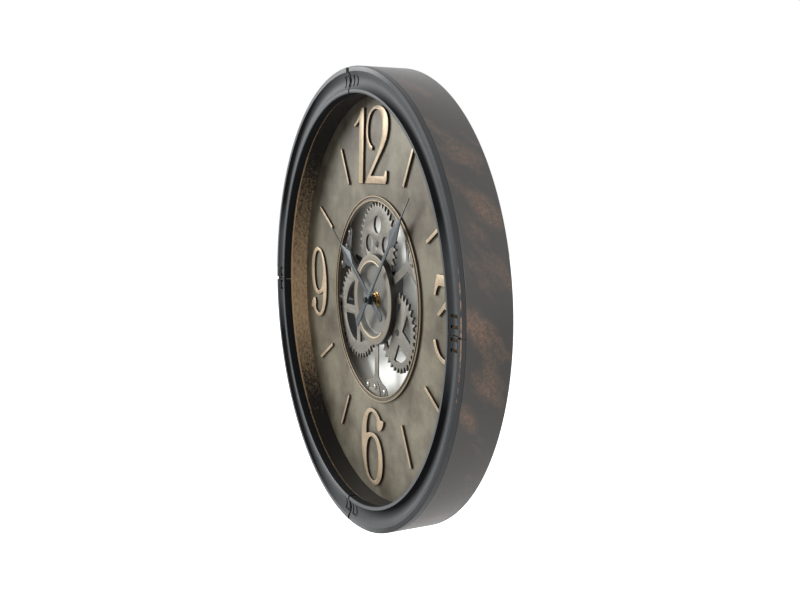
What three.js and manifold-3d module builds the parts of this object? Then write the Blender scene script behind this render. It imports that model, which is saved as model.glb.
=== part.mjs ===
// A gear wall clock: a round steel drum with an open dial centre, three meshing
// gears behind a pressed dish, and two hands driven by a slim movement.
// Millimetres. X runs to the right, Z up, and Y from the front of the clock to
// its back. Depths are measured from the front plane and the origin is in the
// middle of the whole clock, so the face looks towards -Y.
import * as THREE from "three";
import { mergeVertices } from "three/addons/utils/BufferGeometryUtils.js";
import Module from "manifold-3d";

const wasm = await Module();
wasm.setup();

// Clearances
const seat = 0.3; // between two pieces that lie on each other
const closeSeat = 0.1; // at the small shoulders of the axles
const running = 0.25; // round a shaft that turns
const endPlay = 0.15; // between the idler pinion and its flange
const backlash = 0.4; // taken off each gear tooth, so that two gears turn freely
const overlap = 0.1; // how far two forms run into each other where they are joined

// Drum and bezel
const drumRadius = 230;
const drumDepth = 49;
const sheet = 1.2; // steel of drum, liner and bezel
const hemWidth = 8; // the drum's turned-in rear edge
const bezelWidth = 25.5; // from the clock's outer edge to the trim's inner edge
const bezelFlange = 5; // depth of the trim's outer edge
const bezelReturn = 9.4; // depth of the trim's inner edge
const outerBeadWidth = 4.9;
const innerBeadWidth = 3.5;
const innerBeadDepth = 0.3; // how far the inner bead lies behind the outer one
const channelDepth = 3; // of the hollow between the two beads, at its middle
const channelSteps = 6; // facets across the hollow
const beadEdge = 0.8; // bevel of the beads' outer edges
const seamGap = 0.9; // between two quadrants
const tongueInset = 3.6; // from the outer bead to the slit round a locking tongue
const tongueReach = 11; // of the slit across the channel
const tongueLength = 11.5; // of the slit along the channel
const tongueLeg = 2.6; // width of the slit's two legs
const tongueBar = 1.7; // width of the slit's outer bar
// For each quadrant's first and last end, going anticlockwise: how far from the seam
// its slit starts, and how far its outer bead is cut back.
const quadrantEnds = {
  bezel_upper_right: [{ slit: 5.6, cutBack: 0.9 }, { slit: 7.6, cutBack: 0.5 }],
  bezel_upper_left: [{ slit: 1.5, cutBack: 5.5 }, { slit: 2, cutBack: 1.2 }],
  bezel_lower_left: [{ slit: 2.5, cutBack: 2.7 }, { slit: 1.5, cutBack: 0.9 }],
  bezel_lower_right: [{ slit: 5, cutBack: 0.9 }, { slit: 2, cutBack: 0.9 }],
};

// Dial
const dialFront = 30;
const dialSheet = 0.8;
const linerFlange = 6;
const windowRadius = 99.4;
const windowTrimWidth = 6;
const windowTrimHeight = 2.1;
const beadWidth = 1.8;
const beadRound = 0.4;
const figureHeight = 2.1; // of numerals and batons, above their seat
const drawnBand = 100.3; // the numerals are drawn for a dial band of this width
const drawnMiddle = 155.55; // whose middle is this far from the clock's centre
const batonLength = 43;
const batonShift = -1.05; // of its middle from the middle of the band
const batonWidth = 3.5;
const nineShare = 0.9; // the nine is this much narrower than the six
const sixShift = [-3.2, 0.45]; // from the middle of the band at six o'clock
const nineShift = [-2.45, 0.8]; // from the middle of the band at nine o'clock

// Dish and arms
const dishRadius = 46.5;
const dishFront = 25.6;
const dishFloor = 31;
const dishSheet = 0.8;
const dishBandWidth = 8.5; // the flat band round the dish
const dishWallRun = 3; // radial run of the sloping wall
const dishEdge = 0.8; // bevel of the band's outer edge
const ridgeWidth = 1.6;
const ridgeHeight = 0.7;
const ridgeInset = 0.3; // from the band's inner edge
const ridgeArcs = [[55, 137], [214, 309]]; // degrees, from and to
const armWidth = 9;
const armSheet = 1.1;
const armFront = 31.1;
const footReach = 4.6; // of a foot under the dial, past the edge of its window
const footFlare = 20.4; // from the edge of the window to where the foot spreads
const footHalfWidth = 27;
const footSlitWidth = 2.4;
const screwInset = 4.4; // from the edge of the window to the line of the screws
const screwSpread = 20.2;
const screwHeadRadius = 3;
const screwHeadHeight = 1.5;
const screwShankRadius = 1.5;
const screwShankLength = 2.6;

// Gears
const toothModule = 2.3;
const gearFront = 32.6;
const gearThickness = 2.6;
const topTeeth = 36;
const leftTeeth = 42;
const rightTeeth = 33;
const pinionTeeth = 8;
const rootDepth = 2.7; // from the pitch circle to the foot of a tooth
const gearFlank = 20; // degrees, lean of a gear tooth's side
const pinionFlank = 24;
const pinionAddendum = 2;
const pinionRelief = 1.1; // taken off each pinion tooth
const topCentre = [-2.7, 56];
const leftDirection = 237.1; // degrees, from the top gear to the left gear
const idlerDirection = 291.8; // degrees, from the top gear to the idler pinion
const rightDirection = 309.5; // degrees, from the idler pinion to the right gear
const driveDirection = 201; // degrees, from the left gear to the drive pinion
const leftToothPhase = 2;
const axleRadius = 3.2;
const axleCollarRadius = 5.5;
const axleStandOut = 0.6; // in front of its gear
const pinionAxleRadius = 1.8;
const idlerFlangeRadius = 4;
const roundWindowRadius = 9;
const roundWindowPitch = 20; // from the top gear's centre to its round windows
const leftWindowRadius = 33.5;
const leftSpokeWidth = 9;
const leftSpokeTurn = 1.5;
const leftHubRadius = 12;
const rightWindowRadius = 29.5;
const rightSpokeWidth = 15.6;
const rightSpokeTurn = -30;

// Bridge, movement and drive unit
const bridgeFront = 35.9;
const bridgeSheet = 1;
const bridgeRail = 5;
const axleFingerWidth = 14;
const pillarFingerWidth = 8;
const rightFingerRise = 6; // of the right finger's root above its axle
const pillarRadius = 3;
const pillarPlaces = { lower: [2, -43], right: [31.6, 21], left: [-65, 37.5] };
const slimCellRadius = 5.25;
const slimCellLength = 44.5;
const cellRadius = 7.25;
const cellLength = 50.5;
const cellNubLength = 1;
const cellNubShare = 0.38; // of the cell's radius
const caseBack = 47.1;
const movementSize = 56;
const movementFront = 35.6;
const movementLip = 2.5; // stands out round the case behind the bridge
const movementLipSheet = 1.2;
const movementCellX = 17;
const fingerNotch = { wide: 6, long: 14, deep: 7 }; // for lifting the slim cell out
const shaftHoleDepth = 6;
const knobX = -12;
const knobRadius = 7;
const knobGroove = 0.7;
const knobGrooves = 12;
const knobWellDepth = 4;
const caseWall = 0.8;
// Of the drive unit, from its pinion's axis
const gearbox = { left: -16, right: 14, halfHeight: 27 };
const cellBay = { left: -33, right: -14 };
const switchSlot = { left: -2, right: 8, low: 12, high: 18, deep: 3 };
const switchTravel = 3;
const thumbInset = { side: 1.5, end: 1.4 }; // of the switch's thumb piece
const thumbWidth = 3;
const thumbHeight = 1.5;

// Hub and hands
const bushRadius = 3.5;
const bushWall = 0.7;
const pipeWall = 1.1;
const bushStandOut = 0.8; // in front of the nut
const bossGap = 0.4; // between the hour hand's boss and the bush
const washerRadius = 8;
const washerHeight = 0.5;
const nutWidth = 12.2; // across flats
const nutHeight = 1.9;
const nutTurn = 12; // degrees
const handSheet = 0.9;
const hourDepth = 24;
const minuteDepth = 19.5;
// Along each hand from its shaft: its tip, where its blade ends, is widest and starts,
// and its tail
const hourForm = { tip: 124, bladeEnd: 95, bladeWide: 69, bladeStart: 57, tail: 30 };
const minuteForm = { tip: 143, bladeEnd: 117.5, bladeWide: 91, bladeStart: 78, tail: 37 };
// Half widths of a hand's needle, stem, blade and tail
const handHalf = { needle: 0.6, tip: 0.24, stem: 2.2, root: 2.8, blade: 9, tail: 4.4 };
const tailPoint = 2.5;
const hourAngle = 302.3; // degrees clockwise from twelve
const minuteAngle = 42.2;
const bossRadius = 5.5;
const minuteBossRadius = 4.8;
const bossClear = 0.5; // between the minute hand's boss and the hour hand
const capRadius = 3;
const capFront = 16.6;
const capBevel = 0.6;
const shaftReach = 4; // of the minute hand's shaft into the movement
const pipeReach = 2; // of the hour hand's pipe into the movement

// Hanger
const hangerWidth = 90;
const hangerInset = 1.5; // from the drum's wall to its top edge
const hangerHeight = 37.3; // from its top edge down to its lower edge
const keyholeRadius = 4.5;
const keyholeSlot = 2.4; // half its width
const keyholeRise = 9;
const keyholeInset = 11; // from the lower edge to the centre of the round hole

// Round resolution: sides of a full turn
const bigRound = 72;
const middleRound = 48;
const dishRound = 36;
const smallRound = 20;
const tinyRound = 12;

// Sizes that follow from those above
const bezelInnerRadius = drumRadius - bezelWidth;
const linerRadius = bezelInnerRadius + sheet + seat; // the liner's inner face
const dialRadius = linerRadius - seat;
const bandInnerRadius = windowRadius + windowTrimWidth;
const bandMiddle = (dialRadius + bandInnerRadius) / 2;
const figureScale = (dialRadius - bandInnerRadius) / drawnBand;
const figureBack = dialFront - seat;
const figureFront = figureBack - figureHeight;
const footRadius = windowRadius + footReach;
const footFlareRadius = windowRadius - footFlare;
const screwRadius = windowRadius - screwInset;
const bushBore = bushRadius - bushWall;
const pipeRadius = bushBore - running;
const pipeBore = pipeRadius - pipeWall;
const shaftRadius = pipeBore - running;
const washerFront = dishFloor - seat - washerHeight;
const nutFront = washerFront - seat - nutHeight;
const bushFront = nutFront - bushStandOut;

const turn = THREE.MathUtils.degToRad;

// Colours
const finishes = {
  charcoal: { color: 0x686b69, roughness: 0.5, metalness: 0.6 },
  copper_brown: { color: 0x6a6159, roughness: 0.6, metalness: 0.6 },
  liner_bronze: { color: 0x4a3d33, roughness: 0.6, metalness: 0.6 },
  dial_bronze: { color: 0x817e70, roughness: 0.5, metalness: 0.7 },
  pale_gold: { color: 0xbcac96, roughness: 0.45, metalness: 0.7 },
  gear_bronze: { color: 0x8e8c83, roughness: 0.5, metalness: 0.7 },
  hand_grey: { color: 0x6f7578, roughness: 0.5, metalness: 0.4 },
  brass: { color: 0xb08a4a, roughness: 0.35, metalness: 1 },
  steel: { color: 0xb9b9b4, roughness: 0.3, metalness: 1 },
  black_steel: { color: 0x2a2b2d, roughness: 0.55, metalness: 0.6 },
  black_plastic: { color: 0x1d1d1f, roughness: 0.6, metalness: 0 },
  cell_wrap: { color: 0x3c5a4a, roughness: 0.4, metalness: 0.1 },
};

// Turns a closed three.js geometry into a solid that can be cut and joined.
function solid(geometry) {
  const bare = geometry.index ? geometry.toNonIndexed() : geometry.clone();
  bare.deleteAttribute("normal");
  bare.deleteAttribute("uv");
  const merged = mergeVertices(bare, 1e-4);
  return new wasm.Manifold(
    new wasm.Mesh({
      numProp: 3,
      vertProperties: merged.attributes.position.array,
      triVerts: new Uint32Array(merged.index.array),
    }),
  );
}

// Turns a solid back into a geometry with flat faces.
function geometryOf(body) {
  const mesh = body.getMesh();
  const indexed = new THREE.BufferGeometry();
  indexed.setAttribute("position", new THREE.BufferAttribute(mesh.vertProperties, 3));
  indexed.setIndex(new THREE.BufferAttribute(mesh.triVerts, 1));
  const flat = indexed.toNonIndexed();
  flat.computeVertexNormals();
  return flat;
}

// The points of a loop, without a repeated end, running the way that is asked for.
function wound(points, clockwise) {
  const loop = points.slice();
  if (loop[0].distanceTo(loop[loop.length - 1]) < 1e-3) loop.pop();
  if (THREE.ShapeUtils.isClockWise(loop) !== clockwise) loop.reverse();
  return loop;
}

// A flat outline drawn in X and Z, made solid between two depths.
function plate(outline, front, back, curveSteps = 8) {
  const { shape, holes } = outline.extractPoints(curveSteps);
  const drawn = new THREE.Shape(wound(shape, false));
  drawn.holes = holes.map((hole) => new THREE.Path(wound(hole, true)));
  const made = new THREE.ExtrudeGeometry(drawn, { depth: back - front, bevelEnabled: false });
  made.rotateX(Math.PI / 2);
  made.translate(0, back, 0);
  return solid(made);
}

// A profile of [radius, depth] points turned round the clock's axis. It closes on
// itself, or on the axis if it starts there.
function turned(profile, sides) {
  const points = profile.map(([radius, depth]) => new THREE.Vector2(radius, depth));
  if (THREE.ShapeUtils.area(points) < 0) points.reverse();
  const onAxis = profile[0][0] === 0;
  if (!onAxis) points.push(points[0].clone());
  return solid(new THREE.LatheGeometry(points, sides));
}

function pin(radius, front, back, sides = smallRound) {
  return turned([[0, front], [radius, front], [radius, back], [0, back]], sides);
}

function tube(innerRadius, outerRadius, front, back, sides = smallRound) {
  const profile = [
    [innerRadius, front],
    [outerRadius, front],
    [outerRadius, back],
    [innerRadius, back],
  ];
  return turned(profile, sides);
}

// A box from its lowest to its highest X, depth and Z.
function block([x0, y0, z0], [x1, y1, z1]) {
  const made = new THREE.BoxGeometry(x1 - x0, y1 - y0, z1 - z0);
  made.translate((x0 + x1) / 2, (y0 + y1) / 2, (z0 + z1) / 2);
  return solid(made);
}

function outlineOf(points) {
  return new THREE.Shape(points.map(([x, z]) => new THREE.Vector2(x, z)));
}

function polar(radius, degrees) {
  return [radius * Math.cos(turn(degrees)), radius * Math.sin(turn(degrees))];
}

// The point at a distance and direction from another.
function stepFrom([x, z], distance, degrees) {
  const [dx, dz] = polar(distance, degrees);
  return [x + dx, z + dz];
}

function roundHole(centre, radius, sides = tinyRound) {
  const points = [];
  for (let i = 0; i < sides; i++) {
    const [x, z] = stepFrom(centre, radius, (-360 * i) / sides);
    points.push(new THREE.Vector2(x, z));
  }
  return new THREE.Path(points);
}

const face = new THREE.Group();
face.position.y = -drumDepth / 2;

// Names a solid, gives it its finish and puts it in the clock.
function place(name, body, finish, parent = face) {
  const material = new THREE.MeshStandardMaterial(finishes[finish]);
  const mesh = new THREE.Mesh(geometryOf(body), material);
  mesh.name = name;
  parent.add(mesh);
  return mesh;
}

// One quadrant of the pressed trim, lying between twelve and three o'clock.
// It grips the drum's neck under its outer bead and hides the liner's edge.
function bezelQuadrant([first, last]) {
  const outer = drumRadius;
  const lipInner = outer - outerBeadWidth;
  const innerBead = bezelInnerRadius + innerBeadWidth;
  const front = innerBeadDepth;
  // The hollow between the beads, from the outside in, moved back by a depth.
  const hollow = (back) =>
    Array.from({ length: channelSteps + 1 }, (_, step) => {
      const share = step / channelSteps;
      return [
        lipInner + (innerBead - lipInner) * share,
        back + front * share + 4 * channelDepth * share * (1 - share),
      ];
    });
  const profile = [
    [outer, bezelFlange],
    [outer, beadEdge],
    [outer - beadEdge, 0],
    ...hollow(0),
    [bezelInnerRadius + beadEdge, front],
    [bezelInnerRadius, front + beadEdge],
    [bezelInnerRadius, bezelReturn],
    [bezelInnerRadius + sheet, bezelReturn],
    [bezelInnerRadius + sheet, front + sheet],
    ...hollow(sheet).reverse(),
    [outer - sheet, sheet],
    [outer - sheet, bezelFlange],
  ];
  const reach = outer + 10;
  let quadrant = turned(profile, bigRound).intersect(
    block([seamGap / 2, -1, seamGap / 2], [reach, bezelReturn + 1, reach]),
  );
  // The slit runs round three sides of a tongue that stays fixed at its inner side.
  const slitOuter = lipInner - tongueInset;
  const slitInner = slitOuter - tongueReach;
  const slitBack = channelDepth + sheet + 1;
  const bars = (start) => {
    const end = start + tongueLength;
    return [
      [[slitOuter - tongueBar, start], [slitOuter, end]],
      [[slitInner, start], [slitOuter, start + tongueLeg]],
      [[slitInner, end - tongueLeg], [slitOuter, end]],
    ];
  };
  for (const [[r0, t0], [r1, t1]] of bars(first.slit)) {
    quadrant = quadrant.subtract(block([r0, 0, t0], [r1, slitBack, t1]));
  }
  for (const [[r0, t0], [r1, t1]] of bars(last.slit)) {
    quadrant = quadrant.subtract(block([t0, 0, r0], [t1, slitBack, r1]));
  }
  // The outer bead ends a little before the seam.
  const notch = lipInner - seat;
  const back = bezelFlange + 1;
  quadrant = quadrant.subtract(block([notch, -1, -1], [reach, back, first.cutBack]));
  return quadrant.subtract(block([-1, -1, notch], [last.cutBack, back, reach]));
}

function addBezel() {
  let quarter = 0;
  for (const [name, ends] of Object.entries(quadrantEnds)) {
    place(name, bezelQuadrant(ends), "charcoal").rotation.y = (-quarter * Math.PI) / 2;
    quarter += 1;
  }
}

// The outer ring: its front neck is set in under the trim, its rear edge turned in.
function drum() {
  const neck = drumRadius - sheet - seat;
  const inner = drumRadius - sheet;
  const neckFront = sheet + seat;
  const shoulder = bezelFlange + seat;
  const profile = [
    [neck, neckFront],
    [neck, shoulder],
    [drumRadius, shoulder],
    [drumRadius, drumDepth],
    [inner - hemWidth, drumDepth],
    [inner - hemWidth, drumDepth - sheet],
    [inner, drumDepth - sheet],
    [inner, shoulder + 2 * sheet],
    [neck - sheet, shoulder + sheet],
    [neck - sheet, neckFront],
  ];
  return turned(profile, bigRound);
}

// The inner ring, from under the trim to a flange that the dial lies on.
function liner() {
  const front = channelDepth + sheet;
  const flangeFront = dialFront + dialSheet + seat;
  const profile = [
    [linerRadius, front],
    [linerRadius + sheet, front],
    [linerRadius + sheet, flangeFront + sheet],
    [linerRadius - linerFlange, flangeFront + sheet],
    [linerRadius - linerFlange, flangeFront],
    [linerRadius, flangeFront],
  ];
  return turned(profile, bigRound);
}

function dial() {
  return tube(windowRadius, dialRadius, dialFront, dialFront + dialSheet, bigRound);
}

// A flat ring with a bead along each edge, lying on the dial round the window.
function windowRing() {
  const back = dialFront - seat;
  const front = back - windowTrimHeight;
  const outer = bandInnerRadius;
  const flat = front + windowTrimHeight / 2;
  const profile = [
    [windowRadius, back],
    [windowRadius, front],
    [windowRadius + beadWidth - beadRound, front],
    [windowRadius + beadWidth, flat],
    [outer - beadWidth, flat],
    [outer - beadWidth + beadRound, front],
    [outer, front],
    [outer, back],
  ];
  return turned(profile, middleRound);
}

function figureOne() {
  const s = new THREE.Shape();
  s.moveTo(-39.2, 117);
  s.lineTo(-28.6, 117);
  s.lineTo(-25.4, 193.6);
  s.lineTo(-32.4, 193.6);
  s.bezierCurveTo(-36, 186, -44, 180, -52, 177.4);
  s.lineTo(-50.8, 175);
  s.bezierCurveTo(-46, 176.2, -41, 178.6, -36.9, 181.8);
  s.closePath();
  return s;
}

function figureTwo() {
  const s = new THREE.Shape();
  s.moveTo(-23.5, 117.3);
  s.lineTo(27, 117.3);
  s.lineTo(30, 121.5);
  s.lineTo(30, 130);
  s.lineTo(25.6, 130);
  s.quadraticCurveTo(25.4, 125, 21.5, 124.8);
  s.lineTo(-8.8, 124.8);
  s.lineTo(14, 145.5);
  s.bezierCurveTo(25, 154.5, 33, 163, 33, 174.5);
  s.bezierCurveTo(33, 187, 21, 194, 6.5, 194);
  s.bezierCurveTo(-9, 194, -20, 184, -20, 169.5);
  s.bezierCurveTo(-20, 159, -15, 152.5, -6, 150);
  s.lineTo(-4, 153.8);
  s.bezierCurveTo(-12, 156.5, -15.8, 161, -15.8, 169);
  s.bezierCurveTo(-15.8, 182, -8, 190.4, 3, 190.4);
  s.bezierCurveTo(13.5, 190.4, 19.6, 184, 19.6, 174);
  s.bezierCurveTo(19.6, 163, 16, 154, 3, 142);
  s.closePath();
  return s;
}

// The six is drawn about its own centre, so that the nine can be made from it.
function figureSix() {
  const s = new THREE.Shape();
  s.moveTo(-27.4, 5);
  s.bezierCurveTo(-27.4, 27, -15, 40.6, 0.5, 40.6);
  s.bezierCurveTo(10, 40.6, 16.5, 37.4, 20.2, 32.4);
  s.lineTo(28, 32.8);
  s.bezierCurveTo(27, 25, 21, 19.8, 15.2, 20);
  s.bezierCurveTo(11, 20.6, 10.4, 27, 12.6, 30.8);
  s.bezierCurveTo(9, 35, 5, 36.6, 0, 36.6);
  s.bezierCurveTo(-10, 36.6, -15.2, 25, -15.2, 10);
  s.bezierCurveTo(-9, 13.2, -1, 14.8, 5, 14.8);
  s.bezierCurveTo(18, 14.8, 26.6, 3, 26.6, -13);
  s.bezierCurveTo(26.6, -29, 17, -40.6, 3, -40.6);
  s.bezierCurveTo(-15, -40.6, -27.4, -23, -27.4, 5);
  const bowl = new THREE.Path();
  bowl.moveTo(2, 10.4);
  bowl.bezierCurveTo(-9, 10.4, -14.8, 1, -14.8, -13);
  bowl.bezierCurveTo(-14.8, -27, -9, -36.4, 1.8, -36.4);
  bowl.bezierCurveTo(11, -36.4, 16.3, -27, 16.3, -13);
  bowl.bezierCurveTo(16.3, 1, 10.5, 10.4, 2, 10.4);
  s.holes.push(bowl);
  return s;
}

function figureThree() {
  const s = new THREE.Shape();
  s.moveTo(130.4, 21);
  s.lineTo(134.4, 21);
  s.quadraticCurveTo(136, 28, 140.5, 30.5);
  s.lineTo(168, 30.5);
  s.lineTo(138, 5.3);
  s.lineTo(140.4, 2.5);
  s.lineTo(151, 10.8);
  s.bezierCurveTo(161, 12, 168, 3, 168, -10);
  s.bezierCurveTo(168, -25, 161, -33.6, 153, -33.6);
  s.bezierCurveTo(145, -33.4, 139, -28, 135, -18.4);
  s.lineTo(130.6, -19.4);
  s.bezierCurveTo(134, -31, 143, -38, 154, -38);
  s.bezierCurveTo(171, -38, 182, -26, 182, -10);
  s.bezierCurveTo(182, 6, 172, 16.5, 160, 17);
  s.lineTo(180, 35);
  s.lineTo(180, 40.5);
  s.lineTo(136.4, 40.5);
  s.closePath();
  return s;
}

// Makes a raised figure from an outline that is drawn about a point, sizes it to the
// dial's band and sets that point at its place on the dial.
function addFigure(name, outline, drawnAbout, [x, z]) {
  const curveSteps = 6;
  const body = plate(outline, figureFront, figureBack, curveSteps);
  const figure = place(name, body.translate([-drawnAbout[0], 0, -drawnAbout[1]]), "pale_gold");
  figure.scale.set(figureScale, 1, figureScale);
  figure.position.set(x, 0, z);
  return figure;
}

function addFigures() {
  const top = [0, bandMiddle];
  addFigure("numeral_12_one", figureOne(), [0, drawnMiddle], top);
  addFigure("numeral_12_two", figureTwo(), [0, drawnMiddle], top);
  addFigure("numeral_3", figureThree(), [drawnMiddle, 0], [bandMiddle, 0]);
  const sixPlace = [sixShift[0], sixShift[1] - bandMiddle];
  addFigure("numeral_6", figureSix(), [0, 0], sixPlace);
  const ninePlace = [nineShift[0] - bandMiddle, nineShift[1]];
  const nine = addFigure("numeral_9", figureSix(), [0, 0], ninePlace);
  nine.rotation.y = Math.PI;
  nine.scale.x *= nineShare;
  const batonMiddle = bandMiddle + batonShift;
  const batonHalf = (batonLength * figureScale) / 2;
  for (const hour of [1, 2, 4, 5, 7, 8, 10, 11]) {
    const bar = block(
      [-batonWidth / 2, figureFront, batonMiddle - batonHalf],
      [batonWidth / 2, figureBack, batonMiddle + batonHalf],
    );
    place("baton_" + hour, bar, "pale_gold").rotation.y = turn(hour * 30);
  }
}

// The pressed dish: a flat band, a sloping wall and a floor with the bush hole.
function centreDisc() {
  const bandInner = dishRadius - dishBandWidth;
  const hole = bushRadius + seat;
  const back = dishFloor + dishSheet;
  const wallSheet = dishSheet * 0.6; // measured level, where the sheet slopes
  const profile = [
    [hole, dishFloor],
    [bandInner - dishWallRun, dishFloor],
    [bandInner, dishFront],
    [dishRadius - dishEdge, dishFront],
    [dishRadius, dishFront + dishEdge],
    [dishRadius, back],
    [dishRadius - dishSheet, back],
    [dishRadius - dishSheet, dishFront + dishEdge + dishSheet / 2],
    [dishRadius - dishEdge - dishSheet / 2, dishFront + dishSheet],
    [bandInner + wallSheet, dishFront + dishSheet],
    [bandInner - dishWallRun + wallSheet, back],
    [hole, back],
  ];
  let disc = turned(profile, dishRound);
  for (const [from, to] of ridgeArcs) disc = disc.add(dishRidge(from, to));
  return disc;
}

// A raised arc on the inner edge of the dish's band.
function dishRidge(from, to) {
  const inner = dishRadius - dishBandWidth + ridgeInset;
  const outer = inner + ridgeWidth;
  const arc = new THREE.Shape();
  arc.absarc(0, 0, outer, turn(from), turn(to), false);
  arc.absarc(0, 0, inner, turn(to), turn(from), true);
  arc.closePath();
  return plate(arc, dishFront - ridgeHeight, dishFront + dishSheet / 2, 6);
}

// An arm is drawn pointing down. Its foot spreads into lobes that hold the screws,
// parted by a curved slit, and reaches under the edge of the dial.
function armOutline() {
  const half = armWidth / 2;
  const root = dishRadius + seat;
  const edgeAngle = Math.asin(footHalfWidth / footRadius);
  const down = -Math.PI / 2;
  const rootHalf = Math.asin(half / root);
  const s = new THREE.Shape();
  s.absarc(0, 0, root, down - rootHalf, down + rootHalf, false);
  s.lineTo(half, -footFlareRadius);
  s.quadraticCurveTo(half + 3, -footFlareRadius - 5, half + 12, -screwRadius + 9);
  s.quadraticCurveTo(footHalfWidth - 2, -screwRadius + 8, footHalfWidth, -screwRadius);
  s.absarc(0, 0, footRadius, down + edgeAngle, down - edgeAngle, true);
  s.quadraticCurveTo(-footHalfWidth, -screwRadius + 8, -half - 15, -screwRadius + 8);
  s.quadraticCurveTo(-half - 5, -footFlareRadius - 5, -half, -footFlareRadius);
  s.closePath();
  return s;
}

function footSlit() {
  const slit = new THREE.Path();
  slit.moveTo(2, -screwRadius + 9);
  slit.quadraticCurveTo(9, -screwRadius + 4, 9.5, -screwRadius - 6);
  slit.lineTo(9.5 + footSlitWidth, -screwRadius - 6);
  slit.quadraticCurveTo(11.6, -screwRadius + 6, 2 + footSlitWidth, -screwRadius + 10.5);
  slit.closePath();
  return slit;
}

const screwPlaces = {
  first: [-screwSpread, -screwRadius + 2],
  middle: [-3, -screwRadius + 3],
  last: [screwSpread, -screwRadius + 2],
};

function armPlate() {
  const outline = armOutline();
  outline.holes.push(footSlit());
  for (const spot of Object.values(screwPlaces)) {
    outline.holes.push(roundHole(spot, screwShankRadius + seat, 8));
  }
  return plate(outline, armFront, armFront + armSheet, 4);
}

// A dome-headed screw, standing on its own axis.
function footScrew() {
  const headBack = armFront - seat;
  const top = headBack - screwHeadHeight;
  const profile = [
    [0, top],
    [screwHeadRadius * 0.7, top + screwHeadHeight * 0.3],
    [screwHeadRadius, headBack],
    [screwShankRadius, headBack],
    [screwShankRadius, headBack + screwShankLength],
    [0, headBack + screwShankLength],
  ];
  return turned(profile, tinyRound);
}

function addArms() {
  const arms = { lower: 0, right: 120, left: -120 };
  for (const [armName, degrees] of Object.entries(arms)) {
    const group = new THREE.Group();
    group.rotation.y = -turn(degrees);
    face.add(group);
    place("arm_" + armName, armPlate(), "gear_bronze", group);
    for (const [screwName, [x, z]] of Object.entries(screwPlaces)) {
      const screw = place(`foot_screw_${armName}_${screwName}`, footScrew(), "steel", group);
      screw.position.set(x, 0, z);
    }
  }
}

// The outline of a spur gear with straight-sided teeth about its own centre.
function gearOutline(teeth, phaseDegrees) {
  const pitchRadius = (toothModule * teeth) / 2;
  const small = teeth === pinionTeeth;
  const addendum = small ? pinionAddendum : toothModule;
  const tipRadius = pitchRadius + addendum;
  const rootRadius = pitchRadius - rootDepth;
  const pitchHalf = (Math.PI * toothModule) / 4 - (small ? pinionRelief : backlash) / 2;
  const flank = Math.tan(turn(small ? pinionFlank : gearFlank));
  const tipHalf = (pitchHalf - addendum * flank) / tipRadius;
  const rootHalf = (pitchHalf + rootDepth * flank * 0.5) / rootRadius;
  const points = [];
  for (let tooth = 0; tooth < teeth; tooth++) {
    const middle = turn(phaseDegrees) + (tooth * 2 * Math.PI) / teeth;
    for (const [radius, angle] of [
      [rootRadius, middle - rootHalf],
      [tipRadius, middle - tipHalf],
      [tipRadius, middle + tipHalf],
      [rootRadius, middle + rootHalf],
    ]) {
      points.push([radius * Math.cos(angle), radius * Math.sin(angle)]);
    }
  }
  return outlineOf(points);
}

// One of four windows between crossed spokes. Its inner end is a corner where the
// spokes meet, or an arc round the hub if the hub is larger.
function spokeWindow(windowRadius, spokeWidth, spokeDegrees, hubRadius) {
  const outerHalf = Math.asin(spokeWidth / 2 / windowRadius);
  const start = turn(spokeDegrees);
  const end = start + Math.PI / 2;
  const cut = new THREE.Path();
  cut.absarc(0, 0, windowRadius, start + outerHalf, end - outerHalf, false);
  if (hubRadius * Math.SQRT1_2 > spokeWidth / 2) {
    const innerHalf = Math.asin(spokeWidth / 2 / hubRadius);
    cut.absarc(0, 0, hubRadius, end - innerHalf, start + innerHalf, true);
  } else {
    const corner = polar((spokeWidth / 2) * Math.SQRT2, spokeDegrees + 45);
    cut.lineTo(corner[0], corner[1]);
  }
  cut.closePath();
  return cut;
}

function pitchDistance(teethA, teethB) {
  return (toothModule * (teethA + teethB)) / 2;
}

// The tooth phase that meshes with a neighbour whose phase is known.
function meshPhase(phase, teeth, direction, ownTeeth) {
  return direction + 180 + ((direction - phase) * teeth - 180) / ownTeeth;
}

const leftCentre = stepFrom(topCentre, pitchDistance(topTeeth, leftTeeth), leftDirection);
const idlerCentre = stepFrom(topCentre, pitchDistance(topTeeth, pinionTeeth), idlerDirection);
const rightCentre = stepFrom(
  idlerCentre,
  pitchDistance(pinionTeeth, rightTeeth),
  rightDirection,
);
const driveCentre = stepFrom(leftCentre, pitchDistance(leftTeeth, pinionTeeth), driveDirection);

function gearPlate(teeth, phase, bore, windows) {
  const outline = gearOutline(teeth, phase);
  outline.holes.push(roundHole([0, 0], bore), ...windows);
  return plate(outline, gearFront, gearFront + gearThickness, 6);
}

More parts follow.
